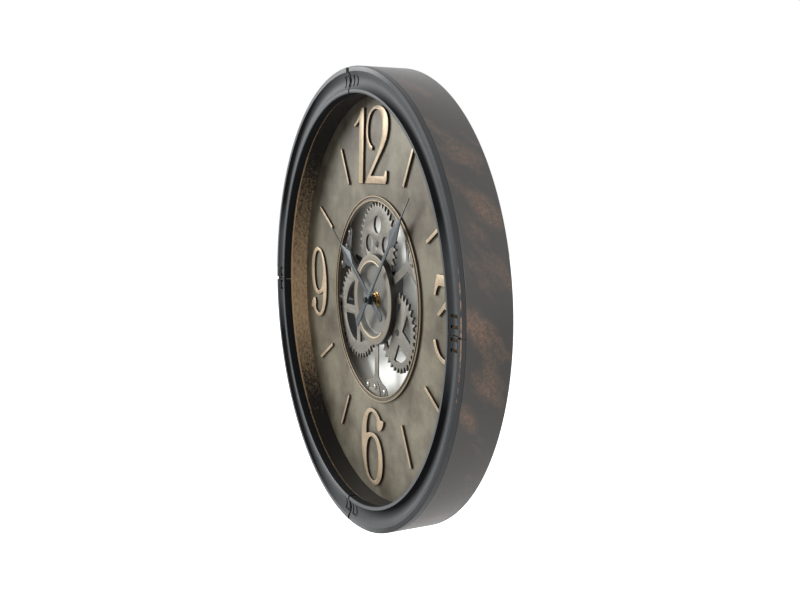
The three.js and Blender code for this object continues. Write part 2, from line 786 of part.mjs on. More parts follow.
function addGears() {
  const topPhase = meshPhase(leftToothPhase, leftTeeth, leftDirection + 180, topTeeth);
  const idlerPhase = meshPhase(topPhase, topTeeth, idlerDirection, pinionTeeth);
  const rightPhase = meshPhase(idlerPhase, pinionTeeth, rightDirection, rightTeeth);
  const drivePhase = meshPhase(leftToothPhase, leftTeeth, driveDirection, pinionTeeth);
  const quarters = [0, 90, 180, 270];
  const bore = axleRadius + running;
  const smallBore = pinionAxleRadius + running;
  const roundWindows = quarters.map((degrees) =>
    roundHole(polar(roundWindowPitch, degrees), roundWindowRadius, smallRound),
  );
  const leftWindows = quarters.map((degrees) =>
    spokeWindow(leftWindowRadius, leftSpokeWidth, degrees + leftSpokeTurn, leftHubRadius),
  );
  const rightWindows = quarters.map((degrees) =>
    spokeWindow(rightWindowRadius, rightSpokeWidth, degrees + rightSpokeTurn, 0),
  );
  const gears = [
    ["gear_top", topTeeth, topPhase, bore, roundWindows, topCentre, "gear_bronze"],
    ["gear_left", leftTeeth, leftToothPhase, bore, leftWindows, leftCentre, "gear_bronze"],
    ["gear_right", rightTeeth, rightPhase, bore, rightWindows, rightCentre, "gear_bronze"],
    ["idler_pinion", pinionTeeth, idlerPhase, smallBore, [], idlerCentre, "brass"],
    ["drive_pinion", pinionTeeth, drivePhase, smallBore, [], driveCentre, "brass"],
  ];
  for (const [name, teeth, phase, hole, windows, [x, z], finish] of gears) {
    place(name, gearPlate(teeth, phase, hole, windows), finish).position.set(x, 0, z);
  }
}

// A gear's axle stands in the bridge and has a collar that keeps the gear forward.
function gearAxle() {
  const front = gearFront - axleStandOut;
  const collarFront = gearFront + gearThickness + running;
  const back = bridgeFront + bridgeSheet;
  const profile = [
    [0, front],
    [axleRadius, front],
    [axleRadius, collarFront],
    [axleCollarRadius, collarFront],
    [axleCollarRadius, bridgeFront - closeSeat],
    [axleRadius, bridgeFront - closeSeat],
    [axleRadius, back],
    [0, back],
  ];
  return turned(profile, smallRound);
}

// The idler's stud has its flange on the back of the dish.
function idlerAxle() {
  const flangeFront = dishFloor + dishSheet + seat;
  const flangeBack = gearFront - endPlay;
  const back = gearFront + gearThickness - closeSeat;
  const profile = [
    [0, flangeFront],
    [idlerFlangeRadius, flangeFront],
    [idlerFlangeRadius, flangeBack],
    [pinionAxleRadius, flangeBack],
    [pinionAxleRadius, back],
    [0, back],
  ];
  return turned(profile, tinyRound);
}

function addAxles() {
  const axles = { top: topCentre, left: leftCentre, right: rightCentre };
  for (const [name, [x, z]] of Object.entries(axles)) {
    place("axle_" + name, gearAxle(), "black_steel").position.set(x, 0, z);
  }
  place("idler_axle", idlerAxle(), "steel").position.set(idlerCentre[0], 0, idlerCentre[1]);
}

// A straight finger of the bridge between two points, with a round end.
function finger(from, to, width) {
  const length = Math.hypot(to[0] - from[0], to[1] - from[1]);
  const bar = new THREE.Shape();
  bar.moveTo(0, -width / 2);
  bar.lineTo(length, -width / 2);
  bar.absarc(length, 0, width / 2, -Math.PI / 2, Math.PI / 2, false);
  bar.lineTo(0, width / 2);
  bar.closePath();
  const made = plate(bar, bridgeFront, bridgeFront + bridgeSheet, 4);
  const angle = Math.atan2(to[1] - from[1], to[0] - from[0]);
  const set = new THREE.Matrix4()
    .makeTranslation(from[0], 0, from[1])
    .multiply(new THREE.Matrix4().makeRotationY(-angle));
  return made.transform(set.elements);
}

// The bridge is a square frame round the movement, with a finger to each axle and
// each pillar.
function bridge() {
  const inner = movementSize / 2 + seat;
  const outer = inner + bridgeRail;
  const frame = outlineOf([[-outer, -outer], [outer, -outer], [outer, outer], [-outer, outer]]);
  const opening = new THREE.Path();
  opening.moveTo(-inner, -inner);
  opening.lineTo(-inner, inner);
  opening.lineTo(inner, inner);
  opening.lineTo(inner, -inner);
  opening.closePath();
  frame.holes.push(opening);
  let made = plate(frame, bridgeFront, bridgeFront + bridgeSheet);
  const rail = inner + bridgeRail / 2;
  const fingers = [
    [[topCentre[0], rail], topCentre, axleFingerWidth],
    [[-rail, leftCentre[1]], leftCentre, axleFingerWidth],
    [[rail, rightCentre[1] + rightFingerRise], rightCentre, axleFingerWidth],
    [[pillarPlaces.lower[0], -rail], pillarPlaces.lower, pillarFingerWidth],
    [[-rail, rail], pillarPlaces.left, pillarFingerWidth],
  ];
  for (const [from, to, width] of fingers) made = made.add(finger(from, to, width));
  for (const [x, z] of [topCentre, leftCentre, rightCentre]) {
    const hole = pin(axleRadius + seat, bridgeFront - 1, bridgeFront + bridgeSheet + 1);
    made = made.subtract(hole.translate([x, 0, z]));
  }
  return made;
}

function addPillars() {
  const fronts = {
    lower: dishFloor + dishSheet + seat,
    right: dishFloor + dishSheet + seat,
    left: armFront + armSheet + seat,
  };
  for (const [name, [x, z]] of Object.entries(pillarPlaces)) {
    const body = pin(pillarRadius, fronts[name], bridgeFront - seat, tinyRound);
    place("pillar_" + name, body, "black_steel").position.set(x, 0, z);
  }
}

function hexNut() {
  const corners = [];
  for (let i = 0; i < 6; i++) corners.push(polar(nutWidth / Math.sqrt(3), 60 * i + nutTurn));
  const outline = outlineOf(corners);
  outline.holes.push(roundHole([0, 0], bushRadius + seat));
  return plate(outline, nutFront, nutFront + nutHeight);
}

// The bush carries the hands' shafts through the dish and takes the nut.
function addHub() {
  const bush = tube(bushBore, bushRadius, bushFront, movementFront - seat);
  place("threaded_bush", bush, "brass");
  const washer = tube(bushRadius + seat, washerRadius, washerFront, washerFront + washerHeight);
  place("hub_washer", washer, "brass");
  place("hex_nut", hexNut(), "brass");
}

// A hand points up: a stem, a lance blade and a needle, with a widening tail.
function handOutline(form) {
  const rightSide = [
    [handHalf.tail, -form.tail],
    [handHalf.root, 0],
    [handHalf.stem, form.bladeStart],
    [handHalf.blade, form.bladeWide],
    [handHalf.needle, form.bladeEnd],
    [handHalf.tip, form.tip],
  ];
  const leftSide = rightSide.map(([x, z]) => [-x, z]).reverse();
  return outlineOf([[0, -form.tail - tailPoint], ...rightSide, ...leftSide]);
}

function minuteHand() {
  const bossFront = minuteDepth + overlap;
  return plate(handOutline(minuteForm), minuteDepth, minuteDepth + handSheet)
    .add(pin(minuteBossRadius, bossFront, hourDepth - bossClear))
    .add(pin(shaftRadius, capFront + capBevel, movementFront + shaftReach, tinyRound));
}

function hourHand() {
  const bossFront = hourDepth + overlap;
  const back = movementFront + pipeReach;
  return plate(handOutline(hourForm), hourDepth, hourDepth + handSheet)
    .add(pin(bossRadius, bossFront, bushFront - bossGap))
    .add(pin(pipeRadius, bossFront, back))
    .subtract(pin(pipeBore, hourDepth - 1, back + 1));
}

function handCap() {
  const bore = shaftRadius + seat;
  const back = minuteDepth - seat;
  const profile = [
    [bore, capFront],
    [capRadius - capBevel, capFront],
    [capRadius, capFront + capBevel],
    [capRadius, back],
    [bore, back],
  ];
  return turned(profile, smallRound);
}

function addHands() {
  place("minute_hand", minuteHand(), "hand_grey").rotation.y = turn(minuteAngle);
  place("hour_hand", hourHand(), "hand_grey").rotation.y = turn(hourAngle);
  place("hand_cap", handCap(), "black_steel");
}

// A cell lies along Z with its nub up.
function cell(radius, length) {
  const nub = radius * cellNubShare;
  const shoulder = length / 2 - cellNubLength;
  const profile = [
    [0, -length / 2],
    [radius, -length / 2],
    [radius, shoulder],
    [nub, shoulder],
    [nub, length / 2],
    [0, length / 2],
  ];
  return turned(profile, smallRound).rotate([90, 0, 0]);
}

// The slim movement: a shallow box with a bay open to the back for its cell, a hole
// for the hands' shafts and a well for the setting knob.
function movementCase() {
  const half = movementSize / 2;
  const lip = half + movementLip;
  const lipFront = bridgeFront + bridgeSheet + seat;
  const bayLeft = movementCellX - slimCellRadius - seat;
  const bayRight = movementCellX + slimCellRadius + seat;
  const bayFloor = caseBack - seat - 2 * slimCellRadius - seat;
  const bayLength = slimCellLength / 2 + seat;
  const notchHalf = fingerNotch.long / 2;
  const knobWell = pin(knobRadius + seat, caseBack - knobWellDepth, caseBack + 1);
  return block([-half, movementFront, -half], [half, caseBack, half])
    .add(block([-lip, lipFront, -lip], [lip, lipFront + movementLipSheet, lip]))
    .subtract(block([bayLeft, bayFloor, -bayLength], [bayRight, caseBack + 1, bayLength]))
    .subtract(
      block(
        [bayLeft - fingerNotch.wide, caseBack - fingerNotch.deep, -notchHalf],
        [bayLeft + 1, caseBack + 1, notchHalf],
      ),
    )
    .subtract(pin(pipeRadius + running, movementFront - 1, movementFront + shaftHoleDepth))
    .subtract(knobWell.translate([knobX, 0, 0]));
}

function settingKnob() {
  const points = [];
  for (let i = 0; i < 2 * knobGrooves; i++) {
    const radius = i % 2 ? knobRadius : knobRadius - knobGroove;
    points.push(polar(radius, (i * 180) / knobGrooves));
  }
  return plate(outlineOf(points), caseBack - knobWellDepth + seat, caseBack);
}

// The drive unit sits behind the dial: a gearbox behind the pinion, a spindle that
// carries the pinion, and a bay for its cell beside it.
const driveCellX = driveCentre[0] + cellBay.left + caseWall + seat + cellRadius;
const driveFront = dialFront + dialSheet + seat;

function driveCase() {
  const [cx, cz] = driveCentre;
  const low = cz - gearbox.halfHeight;
  const high = cz + gearbox.halfHeight;
  const boxFront = gearFront + gearThickness + 2 * seat;
  const bayHalf = cellRadius + seat;
  const bayLength = cellLength / 2 + seat;
  const spindle = pin(pinionAxleRadius, gearFront, boxFront + 1, tinyRound);
  const slotFront = caseBack - switchSlot.deep;
  return block([cx + gearbox.left, boxFront, low], [cx + gearbox.right, caseBack, high])
    .add(block([cx + cellBay.left, driveFront, low], [cx + cellBay.right, caseBack, high]))
    .subtract(
      block(
        [driveCellX - bayHalf, driveFront + caseWall, cz - bayLength],
        [driveCellX + bayHalf, caseBack + 1, cz + bayLength],
      ),
    )
    .subtract(
      block(
        [cx + switchSlot.left, slotFront, cz + switchSlot.low],
        [cx + switchSlot.right, caseBack + 1, cz + switchSlot.high],
      ),
    )
    .add(spindle.translate([cx, 0, cz]));
}

// The switch is drawn at the left end of its slot.
function driveSwitch() {
  const [cx, cz] = driveCentre;
  const left = cx + switchSlot.left + seat;
  const low = cz + switchSlot.low + thumbInset.end;
  const high = cz + switchSlot.high - thumbInset.end;
  const base = block(
    [left, caseBack - switchSlot.deep + seat, cz + switchSlot.low + seat],
    [cx + switchSlot.right - seat - switchTravel, caseBack - 1, cz + switchSlot.high - seat],
  );
  const thumb = block(
    [left + thumbInset.side, caseBack - thumbHeight, low],
    [left + thumbInset.side + thumbWidth, caseBack, high],
  );
  return base.add(thumb);
}

function addMovement() {
  place("bridge", bridge(), "black_steel");
  addPillars();
  place("movement_case", movementCase(), "black_plastic");
  const slimCell = place("movement_battery", cell(slimCellRadius, slimCellLength), "cell_wrap");
  slimCell.position.set(movementCellX, caseBack - seat - slimCellRadius, 0);
  place("setting_knob", settingKnob(), "black_plastic").position.set(knobX, 0, 0);
  place("drive_case", driveCase(), "black_plastic");
  place("drive_switch", driveSwitch(), "steel");
  const driveCell = place("drive_battery", cell(cellRadius, cellLength), "cell_wrap");
  const cellDepth = driveFront + caseWall + seat + cellRadius;
  driveCell.position.set(driveCellX, cellDepth, driveCentre[1]);
}

// The hanger is a flat strip across the top, held under the drum's rear hem. Its
// keyhole drops over a screw head in the wall.
function hanger() {
  const back = drumDepth - sheet - seat;
  const half = hangerWidth / 2;
  const top = drumRadius - sheet - hangerInset;
  const bottom = top - hangerHeight;
  const spread = Math.asin(half / top);
  const strip = new THREE.Shape();
  strip.moveTo(-half, bottom);
  strip.lineTo(half, bottom);
  strip.absarc(0, 0, top, Math.PI / 2 - spread, Math.PI / 2 + spread, false);
  strip.closePath();
  const key = new THREE.Path();
  const low = bottom + keyholeInset;
  const slotAngle = Math.asin(keyholeSlot / keyholeRadius);
  key.absarc(0, low, keyholeRadius, Math.PI / 2 - slotAngle, Math.PI / 2 + slotAngle, true);
  key.absarc(0, low + keyholeRise, keyholeSlot, Math.PI, 0, true);
  key.closePath();
  strip.holes.push(key);
  return plate(strip, back - sheet, back, 10);
}

addBezel();
place("drum", drum(), "copper_brown");
place("liner", liner(), "liner_bronze");
place("dial", dial(), "dial_bronze");
place("window_ring", windowRing(), "pale_gold");
addFigures();
place("centre_disc", centreDisc(), "gear_bronze");
addArms();
addGears();
addAxles();
addMovement();
addHub();
addHands();
place("hanger", hanger(), "black_steel");

const clock = new THREE.Group();
clock.add(face);

export default clock;
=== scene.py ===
import math

import bpy
from mathutils import Matrix, Vector


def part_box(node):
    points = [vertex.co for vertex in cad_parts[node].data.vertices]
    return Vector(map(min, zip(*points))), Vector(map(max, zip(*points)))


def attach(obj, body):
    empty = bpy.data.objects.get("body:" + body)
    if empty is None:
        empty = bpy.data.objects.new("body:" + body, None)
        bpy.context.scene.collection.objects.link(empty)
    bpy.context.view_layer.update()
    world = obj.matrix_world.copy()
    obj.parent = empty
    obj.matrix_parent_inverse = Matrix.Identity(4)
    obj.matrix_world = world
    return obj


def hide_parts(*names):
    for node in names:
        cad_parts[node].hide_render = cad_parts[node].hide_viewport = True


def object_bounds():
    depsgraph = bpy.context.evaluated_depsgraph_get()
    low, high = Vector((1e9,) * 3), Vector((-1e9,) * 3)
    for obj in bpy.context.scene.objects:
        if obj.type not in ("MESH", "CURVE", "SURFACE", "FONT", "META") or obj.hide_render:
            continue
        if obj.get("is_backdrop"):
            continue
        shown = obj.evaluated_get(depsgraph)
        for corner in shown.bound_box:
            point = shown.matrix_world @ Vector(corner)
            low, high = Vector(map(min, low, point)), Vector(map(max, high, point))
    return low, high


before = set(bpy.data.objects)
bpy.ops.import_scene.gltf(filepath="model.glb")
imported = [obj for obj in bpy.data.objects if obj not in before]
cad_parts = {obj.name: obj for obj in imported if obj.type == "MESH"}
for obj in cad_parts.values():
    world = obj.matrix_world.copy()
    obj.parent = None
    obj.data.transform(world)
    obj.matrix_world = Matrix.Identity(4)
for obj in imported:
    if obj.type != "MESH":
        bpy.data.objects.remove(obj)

cad_low, cad_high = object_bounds()
bpy.context.scene.view_settings.view_transform = "Standard"


# The drum is the clock's outer ring of rolled steel. Its front edge is set in to take
# the trim and its rear edge is turned in flat. It has a dark brown patina with copper
# rubbed through in clouds.
FRONT = round(1000 * cad_low.y, 3)  # Y of the clock's front in millimetres; depths start there
RADIUS = round(1000 * cad_high.x, 3)
DEPTH = round(1000 * (cad_high.y - cad_low.y), 3)
SHEET = 1.2
NECK = RADIUS - 1.5  # radius of the drum's set-in front edge
SHOULDER = 5.3  # depth at which the neck widens to the full radius
HEM = RADIUS - 9.2  # inner radius of the turned-in rear edge
SMOOTH = math.radians(32)  # edges flatter than this are shaded smooth


def at(radius, depth, degrees=0.0):
    """A point given in millimetres by its radius, its depth behind the clock's front
    and its angle from three o'clock, as a vector in metres."""
    angle = math.radians(degrees)
    return Vector((radius * math.cos(angle), depth + FRONT, radius * math.sin(angle))) / 1000


def select_where(piece, wanted):
    """Select the vertices of a piece that pass a test, and go back to edit mode."""
    bpy.ops.object.mode_set(mode="EDIT")
    bpy.ops.mesh.select_mode(type="VERT")
    bpy.ops.mesh.select_all(action="DESELECT")
    bpy.ops.object.mode_set(mode="OBJECT")
    for vertex in piece.data.vertices:
        vertex.select = wanted(vertex.co)
    bpy.ops.object.mode_set(mode="EDIT")


def spin_profile(name, profile, start=0.0, sweep=360.0, steps=240):
    """Draw a closed profile of (radius, depth, corner rounding) point by point, round
    its corners and spin it about the clock's axis."""
    bpy.ops.object.select_all(action="DESELECT")
    bpy.ops.mesh.primitive_plane_add(size=0.001)
    piece = bpy.context.object
    piece.name = name
    points = [at(radius, depth, start) for radius, depth, rounding in profile]
    bpy.ops.object.mode_set(mode="EDIT")
    bpy.ops.mesh.select_mode(type="VERT")
    bpy.ops.mesh.merge(type="CENTER")
    bpy.ops.transform.translate(value=points[0])
    for here, there in zip(points, points[1:] + points[:1]):
        bpy.ops.mesh.extrude_vertices_move(TRANSFORM_OT_translate={"value": there - here})
    bpy.ops.mesh.select_all(action="SELECT")
    bpy.ops.mesh.remove_doubles(threshold=1e-6)
    for size in sorted({rounding for radius, depth, rounding in profile if rounding}):
        corners = [p for p, (radius, depth, rounding) in zip(points, profile) if rounding == size]
        select_where(piece, lambda point: any((point - corner).length < 1e-6 for corner in corners))
        bpy.ops.mesh.bevel(affect="VERTICES", offset=size / 1000, segments=4)
    bpy.ops.mesh.select_all(action="SELECT")
    bpy.ops.mesh.spin(steps=steps, angle=math.radians(sweep), center=(0, 0, 0), axis=(0, 1, 0))
    bpy.ops.mesh.select_all(action="SELECT")
    bpy.ops.mesh.remove_doubles(threshold=2e-6)
    if sweep < 360:
        bpy.ops.mesh.select_all(action="DESELECT")
        bpy.ops.mesh.select_mode(type="EDGE")
        bpy.ops.mesh.select_non_manifold()
        bpy.ops.mesh.edge_face_add()
        bpy.ops.mesh.select_all(action="SELECT")
    bpy.ops.mesh.normals_make_consistent(inside=False)
    bpy.ops.object.mode_set(mode="OBJECT")
    bpy.ops.object.shade_smooth_by_angle(angle=SMOOTH)
    return piece


def linear(hex_colour):
    """An sRGB hex colour as the linear numbers that a shader takes."""
    parts = [int(hex_colour[i:i + 2], 16) / 255 for i in (1, 3, 5)]
    curve = [p / 12.92 if p <= 0.04045 else ((p + 0.055) / 1.055) ** 2.4 for p in parts]
    return (*curve, 1.0)


def add(material, kind, inputs=None, **settings):
    """Add a node to a material, with its settings and with its inputs set or linked."""
    made = material.node_tree.nodes.new(kind)
    for name, value in settings.items():
        setattr(made, name, value)
    for name, value in (inputs or {}).items():
        if isinstance(value, bpy.types.NodeSocket):
            material.node_tree.links.new(value, made.inputs[name])
        else:
            made.inputs[name].default_value = value
    return made


def new_finish(name):
    """A material with nothing but its output."""
    material = bpy.data.materials.new(name)
    material.use_nodes = True
    material.node_tree.nodes.clear()
    return material


def fit(piece, body, slot, finish, *nodes):
    """Give a piece its finish and let it stand for its nodes on their body."""
    piece.data.materials.clear()
    piece.data.materials.append(finish)
    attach(piece, body)
    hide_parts(*nodes)


drum = spin_profile(
    "drum_shell",
    [
        (NECK, 1.5, 0.3),
        (NECK, SHOULDER, 0.3),
        (RADIUS, SHOULDER, 0.5),
        (RADIUS, DEPTH, 0.8),
        (HEM, DEPTH, 0.4),
        (HEM, DEPTH - SHEET, 0.4),
        (RADIUS - SHEET, DEPTH - SHEET, 0.5),
        (RADIUS - SHEET, SHOULDER + 2 * SHEET, 0.5),
        (NECK - SHEET, SHOULDER + SHEET, 0.5),
        (NECK - SHEET, 1.5, 0.3),
    ],
    steps=360,
)

# Patinated steel: brown-black oxide under a thin lacquer, with copper rubbed through in
# long patches that slant down towards the back and break up into grains of 2 mm. Each
# patch is given by its middle (depth and height), its half length and its half width.
# Here and below, a texture's scale is 1000 divided by its grain in millimetres.
SLANT = math.radians(50)
patina = new_finish("patinated_steel")
place = add(patina, "ShaderNodeTexCoord").outputs["Object"]
slanted = add(
    patina,
    "ShaderNodeVectorRotate",
    {"Vector": place, "Angle": SLANT},
    rotation_type="X_AXIS",
)
stretched = add(
    patina,
    "ShaderNodeMapping",
    {"Vector": slanted.outputs[0], "Location": (0.02, 0.0, 0.0), "Scale": (1.0, 0.55, 1.5)},
)
clouds = add(
    patina,
    "ShaderNodeTexNoise",
    {"Vector": stretched.outputs[0], "Scale": 1000 / 33.3, "Detail": 5.0, "Roughness": 0.6},
)
share = clouds.outputs[0]
for depth, height, half_length, half_width in (
    (31, 147, 30, 20),
    (30, 98, 32, 15),
    (24, 58, 52, 20),
    (29, 2, 38, 18),
    (26, -41, 26, 16),
    (12, -68, 18, 12),
    (6, 12, 26, 14),
):
    middle = Matrix.Rotation(SLANT, 3, "X") @ Vector((0, depth + FRONT, height))
    apart = add(
        patina,
        "ShaderNodeVectorMath",
        {
            0: slanted.outputs[0],
            1: (0, 1000 / half_length, 1000 / half_width),
            2: (0, -middle.y / half_length, -middle.z / half_width),
        },
        operation="MULTIPLY_ADD",
    )
    reach = add(patina, "ShaderNodeVectorMath", {0: apart.outputs[0]}, operation="LENGTH")
    patch = add(
        patina,
        "ShaderNodeMapRange",
        {"Value": reach.outputs["Value"], "From Min": 1.2, "From Max": 0.0, "To Max": 0.3},
    )
    share = add(patina, "ShaderNodeMath", {0: share, 1: patch.outputs[0]}, operation="ADD").outputs[0]
cloud = add(patina, "ShaderNodeMapRange", {"Value": share, "From Min": 0.58, "From Max": 0.84})
grains = add(
    patina,
    "ShaderNodeTexNoise",
    {"Vector": place, "Scale": 1000 / 2.38, "Detail": 4.0, "Roughness": 0.7},
)
grain = add(
    patina,
    "ShaderNodeMapRange",
    {"Value": grains.outputs[0], "From Min": 0.4, "From Max": 0.62, "To Min": 0.25},
)
rubbed = add(patina, "ShaderNodeMath", {0: cloud.outputs[0], 1: grain.outputs[0]}, operation="MULTIPLY")
haze = add(patina, "ShaderNodeTexNoise", {"Vector": place, "Scale": 1000 / 111, "Detail": 4.0})
oxide = add(
    patina,
    "ShaderNodeMix",
    {0: haze.outputs[0], 6: linear("#454341"), 7: linear("#524f4d")},
    data_type="RGBA",
)
coppered = add(
    patina,
    "ShaderNodeMix",
    {0: rubbed.outputs[0], 6: oxide.outputs[2], 7: linear("#846a5a")},
    data_type="RGBA",
)
gloss = add(patina, "ShaderNodeMapRange", {"Value": grains.outputs[0], "To Min": 0.36, "To Max": 0.56})
relief = add(
    patina,
    "ShaderNodeBump",
    {"Height": grains.outputs[0], "Strength": 0.12, "Distance": 0.0002},
)
shader = add(
    patina,
    "ShaderNodeBsdfPrincipled",
    {
        "Base Color": coppered.outputs[2],
        "Roughness": gloss.outputs[0],
        "Normal": relief.outputs[0],
        "Metallic": 0.35,
        "Coat Weight": 0.4,
        "Coat Roughness": 0.25,
    },
)
add(patina, "ShaderNodeOutputMaterial", {"Surface": shader.outputs[0]})
fit(drum, "clock", "copper_brown", patina, "drum")


# The liner is the inner ring between the trim and the dial, of the same steel sheet,
# with a flange that carries the dial. Its black paint is rubbed back to gold bronze,
# most of all on the nine o'clock side.
LINER = 206.0  # inner radius
LINER_FRONT = 4.2
FLANGE = 31.1  # depth of the flange's front
FLANGE_EDGE = LINER - 6.0
liner = spin_profile(
    "liner_ring",
    [
        (LINER, LINER_FRONT, 0.3),
        (LINER + SHEET, LINER_FRONT, 0.3),
        (LINER + SHEET, FLANGE + SHEET, 0.5),
        (FLANGE_EDGE, FLANGE + SHEET, 0.3),
        (FLANGE_EDGE, FLANGE, 0.3),
        (LINER, FLANGE, 0.6),
    ],
    steps=300,
)

# Rubbed paint: matt black blotches on a warm bronze, which takes over at nine o'clock,
# in front along the trim and a little below middle height, where hands have touched it.
TRIM_SIDE = 11.6  # depth at which the bronze along the trim ends
rubbed_paint = new_finish("rubbed_black_paint")
place = add(rubbed_paint, "ShaderNodeTexCoord").outputs["Object"]
axes = add(rubbed_paint, "ShaderNodeSeparateXYZ", {0: place})
nine_side = add(
    rubbed_paint,
    "ShaderNodeMapRange",
    {"Value": axes.outputs[0], "From Min": -0.13, "From Max": -0.2, "To Min": -0.24, "To Max": 0.04},
)
rim = add(
    rubbed_paint,
    "ShaderNodeMapRange",
    {
        "Value": axes.outputs[1],
        "From Min": (FRONT + TRIM_SIDE + 0.4) / 1000,
        "From Max": (FRONT + TRIM_SIDE - 0.5) / 1000,
        "To Max": 0.35,
    },
)
smears = add(rubbed_paint, "ShaderNodeMapping", {"Vector": place, "Scale": (1.0, 1.5, 0.8)})
blots = add(
    rubbed_paint,
    "ShaderNodeTexNoise",
    {"Vector": smears.outputs[0], "Scale": 1000 / 3.33, "Detail": 8.0, "Roughness": 0.75},
)
off_middle = add(rubbed_paint, "ShaderNodeMath", {0: axes.outputs[2], 1: 0.025}, operation="ADD")
off_middle = add(rubbed_paint, "ShaderNodeMath", {0: off_middle.outputs[0]}, operation="ABSOLUTE")
handled = add(
    rubbed_paint,
    "ShaderNodeMapRange",
    {"Value": off_middle.outputs[0], "From Min": 0.1, "From Max": 0.02, "To Max": 0.17},
)
share = blots.outputs[0]
for more in (nine_side, handled, rim):
    share = add(rubbed_paint, "ShaderNodeMath", {0: share, 1: more.outputs[0]}, operation="ADD").outputs[0]
bronzed = add(
    rubbed_paint,
    "ShaderNodeMapRange",
    {"Value": share, "From Min": 0.38, "From Max": 0.85},
)
colour = add(
    rubbed_paint,
    "ShaderNodeMix",
    {0: bronzed.outputs[0], 6: linear("#15120f"), 7: linear("#b59a78")},
    data_type="RGBA",
)
relief = add(
    rubbed_paint,
    "ShaderNodeBump",
    {"Height": blots.outputs[0], "Strength": 0.3, "Distance": 0.0003},
)
shader = add(
    rubbed_paint,
    "ShaderNodeBsdfPrincipled",
    {
        "Base Color": colour.outputs[2],
        "Roughness": 0.5,
        "Metallic": 0.3,
        "Specular IOR Level": 0.3,
        "Normal": relief.outputs[0],
    },
)
add(rubbed_paint, "ShaderNodeOutputMaterial", {"Surface": shader.outputs[0]})
fit(liner, "clock", "liner_bronze", rubbed_paint, "liner")


# The dial is a flat ring of sheet steel, lacquered a grey bronze and brushed round its
# centre while it was wet. Its CAD shape is right as it is, so it only gets its finish.

# Brushed lacquer: a dull grey bronze with brown clouds and a faint grain of rings. It
# darkens towards the top, and painted shade darkens its outer edge towards the left.
brushed = new_finish("brushed_bronze_lacquer")
place = add(brushed, "ShaderNodeTexCoord").outputs["Object"]
axes = add(brushed, "ShaderNodeSeparateXYZ", {0: place})
flat = add(brushed, "ShaderNodeCombineXYZ", {0: axes.outputs[0], 1: axes.outputs[2]})
radius = add(brushed, "ShaderNodeVectorMath", {0: flat.outputs[0]}, operation="LENGTH")
rings = add(
    brushed,
    "ShaderNodeTexNoise",
    {"W": radius.outputs["Value"], "Scale": 1000 / 1.11, "Detail": 3.0},
    noise_dimensions="1D",
)
soft = add(
    brushed,
    "ShaderNodeTexNoise",
    {"Vector": place, "Scale": 1000 / 62.5, "Detail": 6.0, "Roughness": 0.65},
)
fine = add(
    brushed,
    "ShaderNodeTexNoise",
    {"Vector": place, "Scale": 1000 / 3.33, "Detail": 3.0, "Roughness": 0.7},
)
cloudy = add(
    brushed,
    "ShaderNodeMapRange",
    {"Value": soft.outputs[0], "From Min": 0.38, "From Max": 0.6},
)
lacquer = add(
    brushed,
    "ShaderNodeMix",
    {0: cloudy.outputs[0], 6: linear("#463d2f"), 7: linear("#716c5b")},
    data_type="RGBA",
)
speckle = add(
    brushed,
    "ShaderNodeMapRange",
    {"Value": fine.outputs[0], "From Min": 0.3, "From Max": 0.75, "To Min": 0.0, "To Max": 0.35},
)
aged = add(
    brushed,
    "ShaderNodeMix",
    {0: speckle.outputs[0], 6: lacquer.outputs[2], 7: linear("#4f4c43")},
    data_type="RGBA",
)
outward = add(
    brushed,
    "ShaderNodeMapRange",
    {"Value": radius.outputs["Value"], "From Min": 0.12, "From Max": 0.19},
)
upward = add(
    brushed,
    "ShaderNodeMapRange",
    {"Value": axes.outputs[2], "From Min": -0.1, "From Max": 0.16, "To Min": 1.05, "To Max": 0.68},
)
# Painted shade: the dial's outer edge darkens towards the left, where the trim shades it.
left_edge_shade = add(
    brushed,
    "ShaderNodeMapRange",
    {"Value": axes.outputs[0], "From Min": -0.1, "From Max": 0.14, "To Min": 0.8, "To Max": 1.0},
)
edge_shade_and_top_tone = add(brushed, "ShaderNodeMix", {0: outward.outputs[0], 2: 1.04, 3: left_edge_shade.outputs[0]})
edge_shade_and_top_tone = add(
    brushed,
    "ShaderNodeMath",
    {0: edge_shade_and_top_tone.outputs[0], 1: upward.outputs[0]},
    operation="MULTIPLY",
)
toned = add(
    brushed,
    "ShaderNodeVectorMath",
    {0: aged.outputs[2], 3: edge_shade_and_top_tone.outputs[0]},
    operation="SCALE",
)
gloss = add(brushed, "ShaderNodeMapRange", {"Value": rings.outputs[0], "To Min": 0.38, "To Max": 0.58})
relief = add(
    brushed,
    "ShaderNodeBump",
    {"Height": rings.outputs[0], "Strength": 0.1, "Distance": 0.0001},
)
shader = add(
    brushed,
    "ShaderNodeBsdfPrincipled",
    {
        "Base Color": toned.outputs[0],
        "Roughness": gloss.outputs[0],
        "Metallic": 0.45,
        "Normal": relief.outputs[0],
    },
)
add(brushed, "ShaderNodeOutputMaterial", {"Surface": shader.outputs[0]})
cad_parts["dial"].data.materials.clear()
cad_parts["dial"].data.materials.append(brushed)


# The window ring is a pressed steel trim round the open centre, with a half-round bead
# along each edge. The beads are pale gold, partly as painted highlight, and the flat
# between them is like the dial.
WINDOW = 99.4  # radius of the open centre
RING_WIDTH = 6.0
BEAD_WIDTH = 1.8
BEAD_TOP = 27.6  # depth of the beads' crests
RING_FLAT = 28.65  # depth of the flat between them
RING_BACK = 29.7  # just in front of the dial
window_ring = spin_profile(
    "window_ring_trim",
    [
        (WINDOW, RING_BACK, 0.1),
        (WINDOW, BEAD_TOP, 0.75),
        (WINDOW + BEAD_WIDTH, BEAD_TOP, 0.75),
        (WINDOW + BEAD_WIDTH, RING_FLAT, 0.2),
        (WINDOW + RING_WIDTH - BEAD_WIDTH, RING_FLAT, 0.2),
        (WINDOW + RING_WIDTH - BEAD_WIDTH, BEAD_TOP, 0.75),
        (WINDOW + RING_WIDTH, BEAD_TOP, 0.75),
        (WINDOW + RING_WIDTH, RING_BACK, 0.1),
    ],
    steps=240,
)
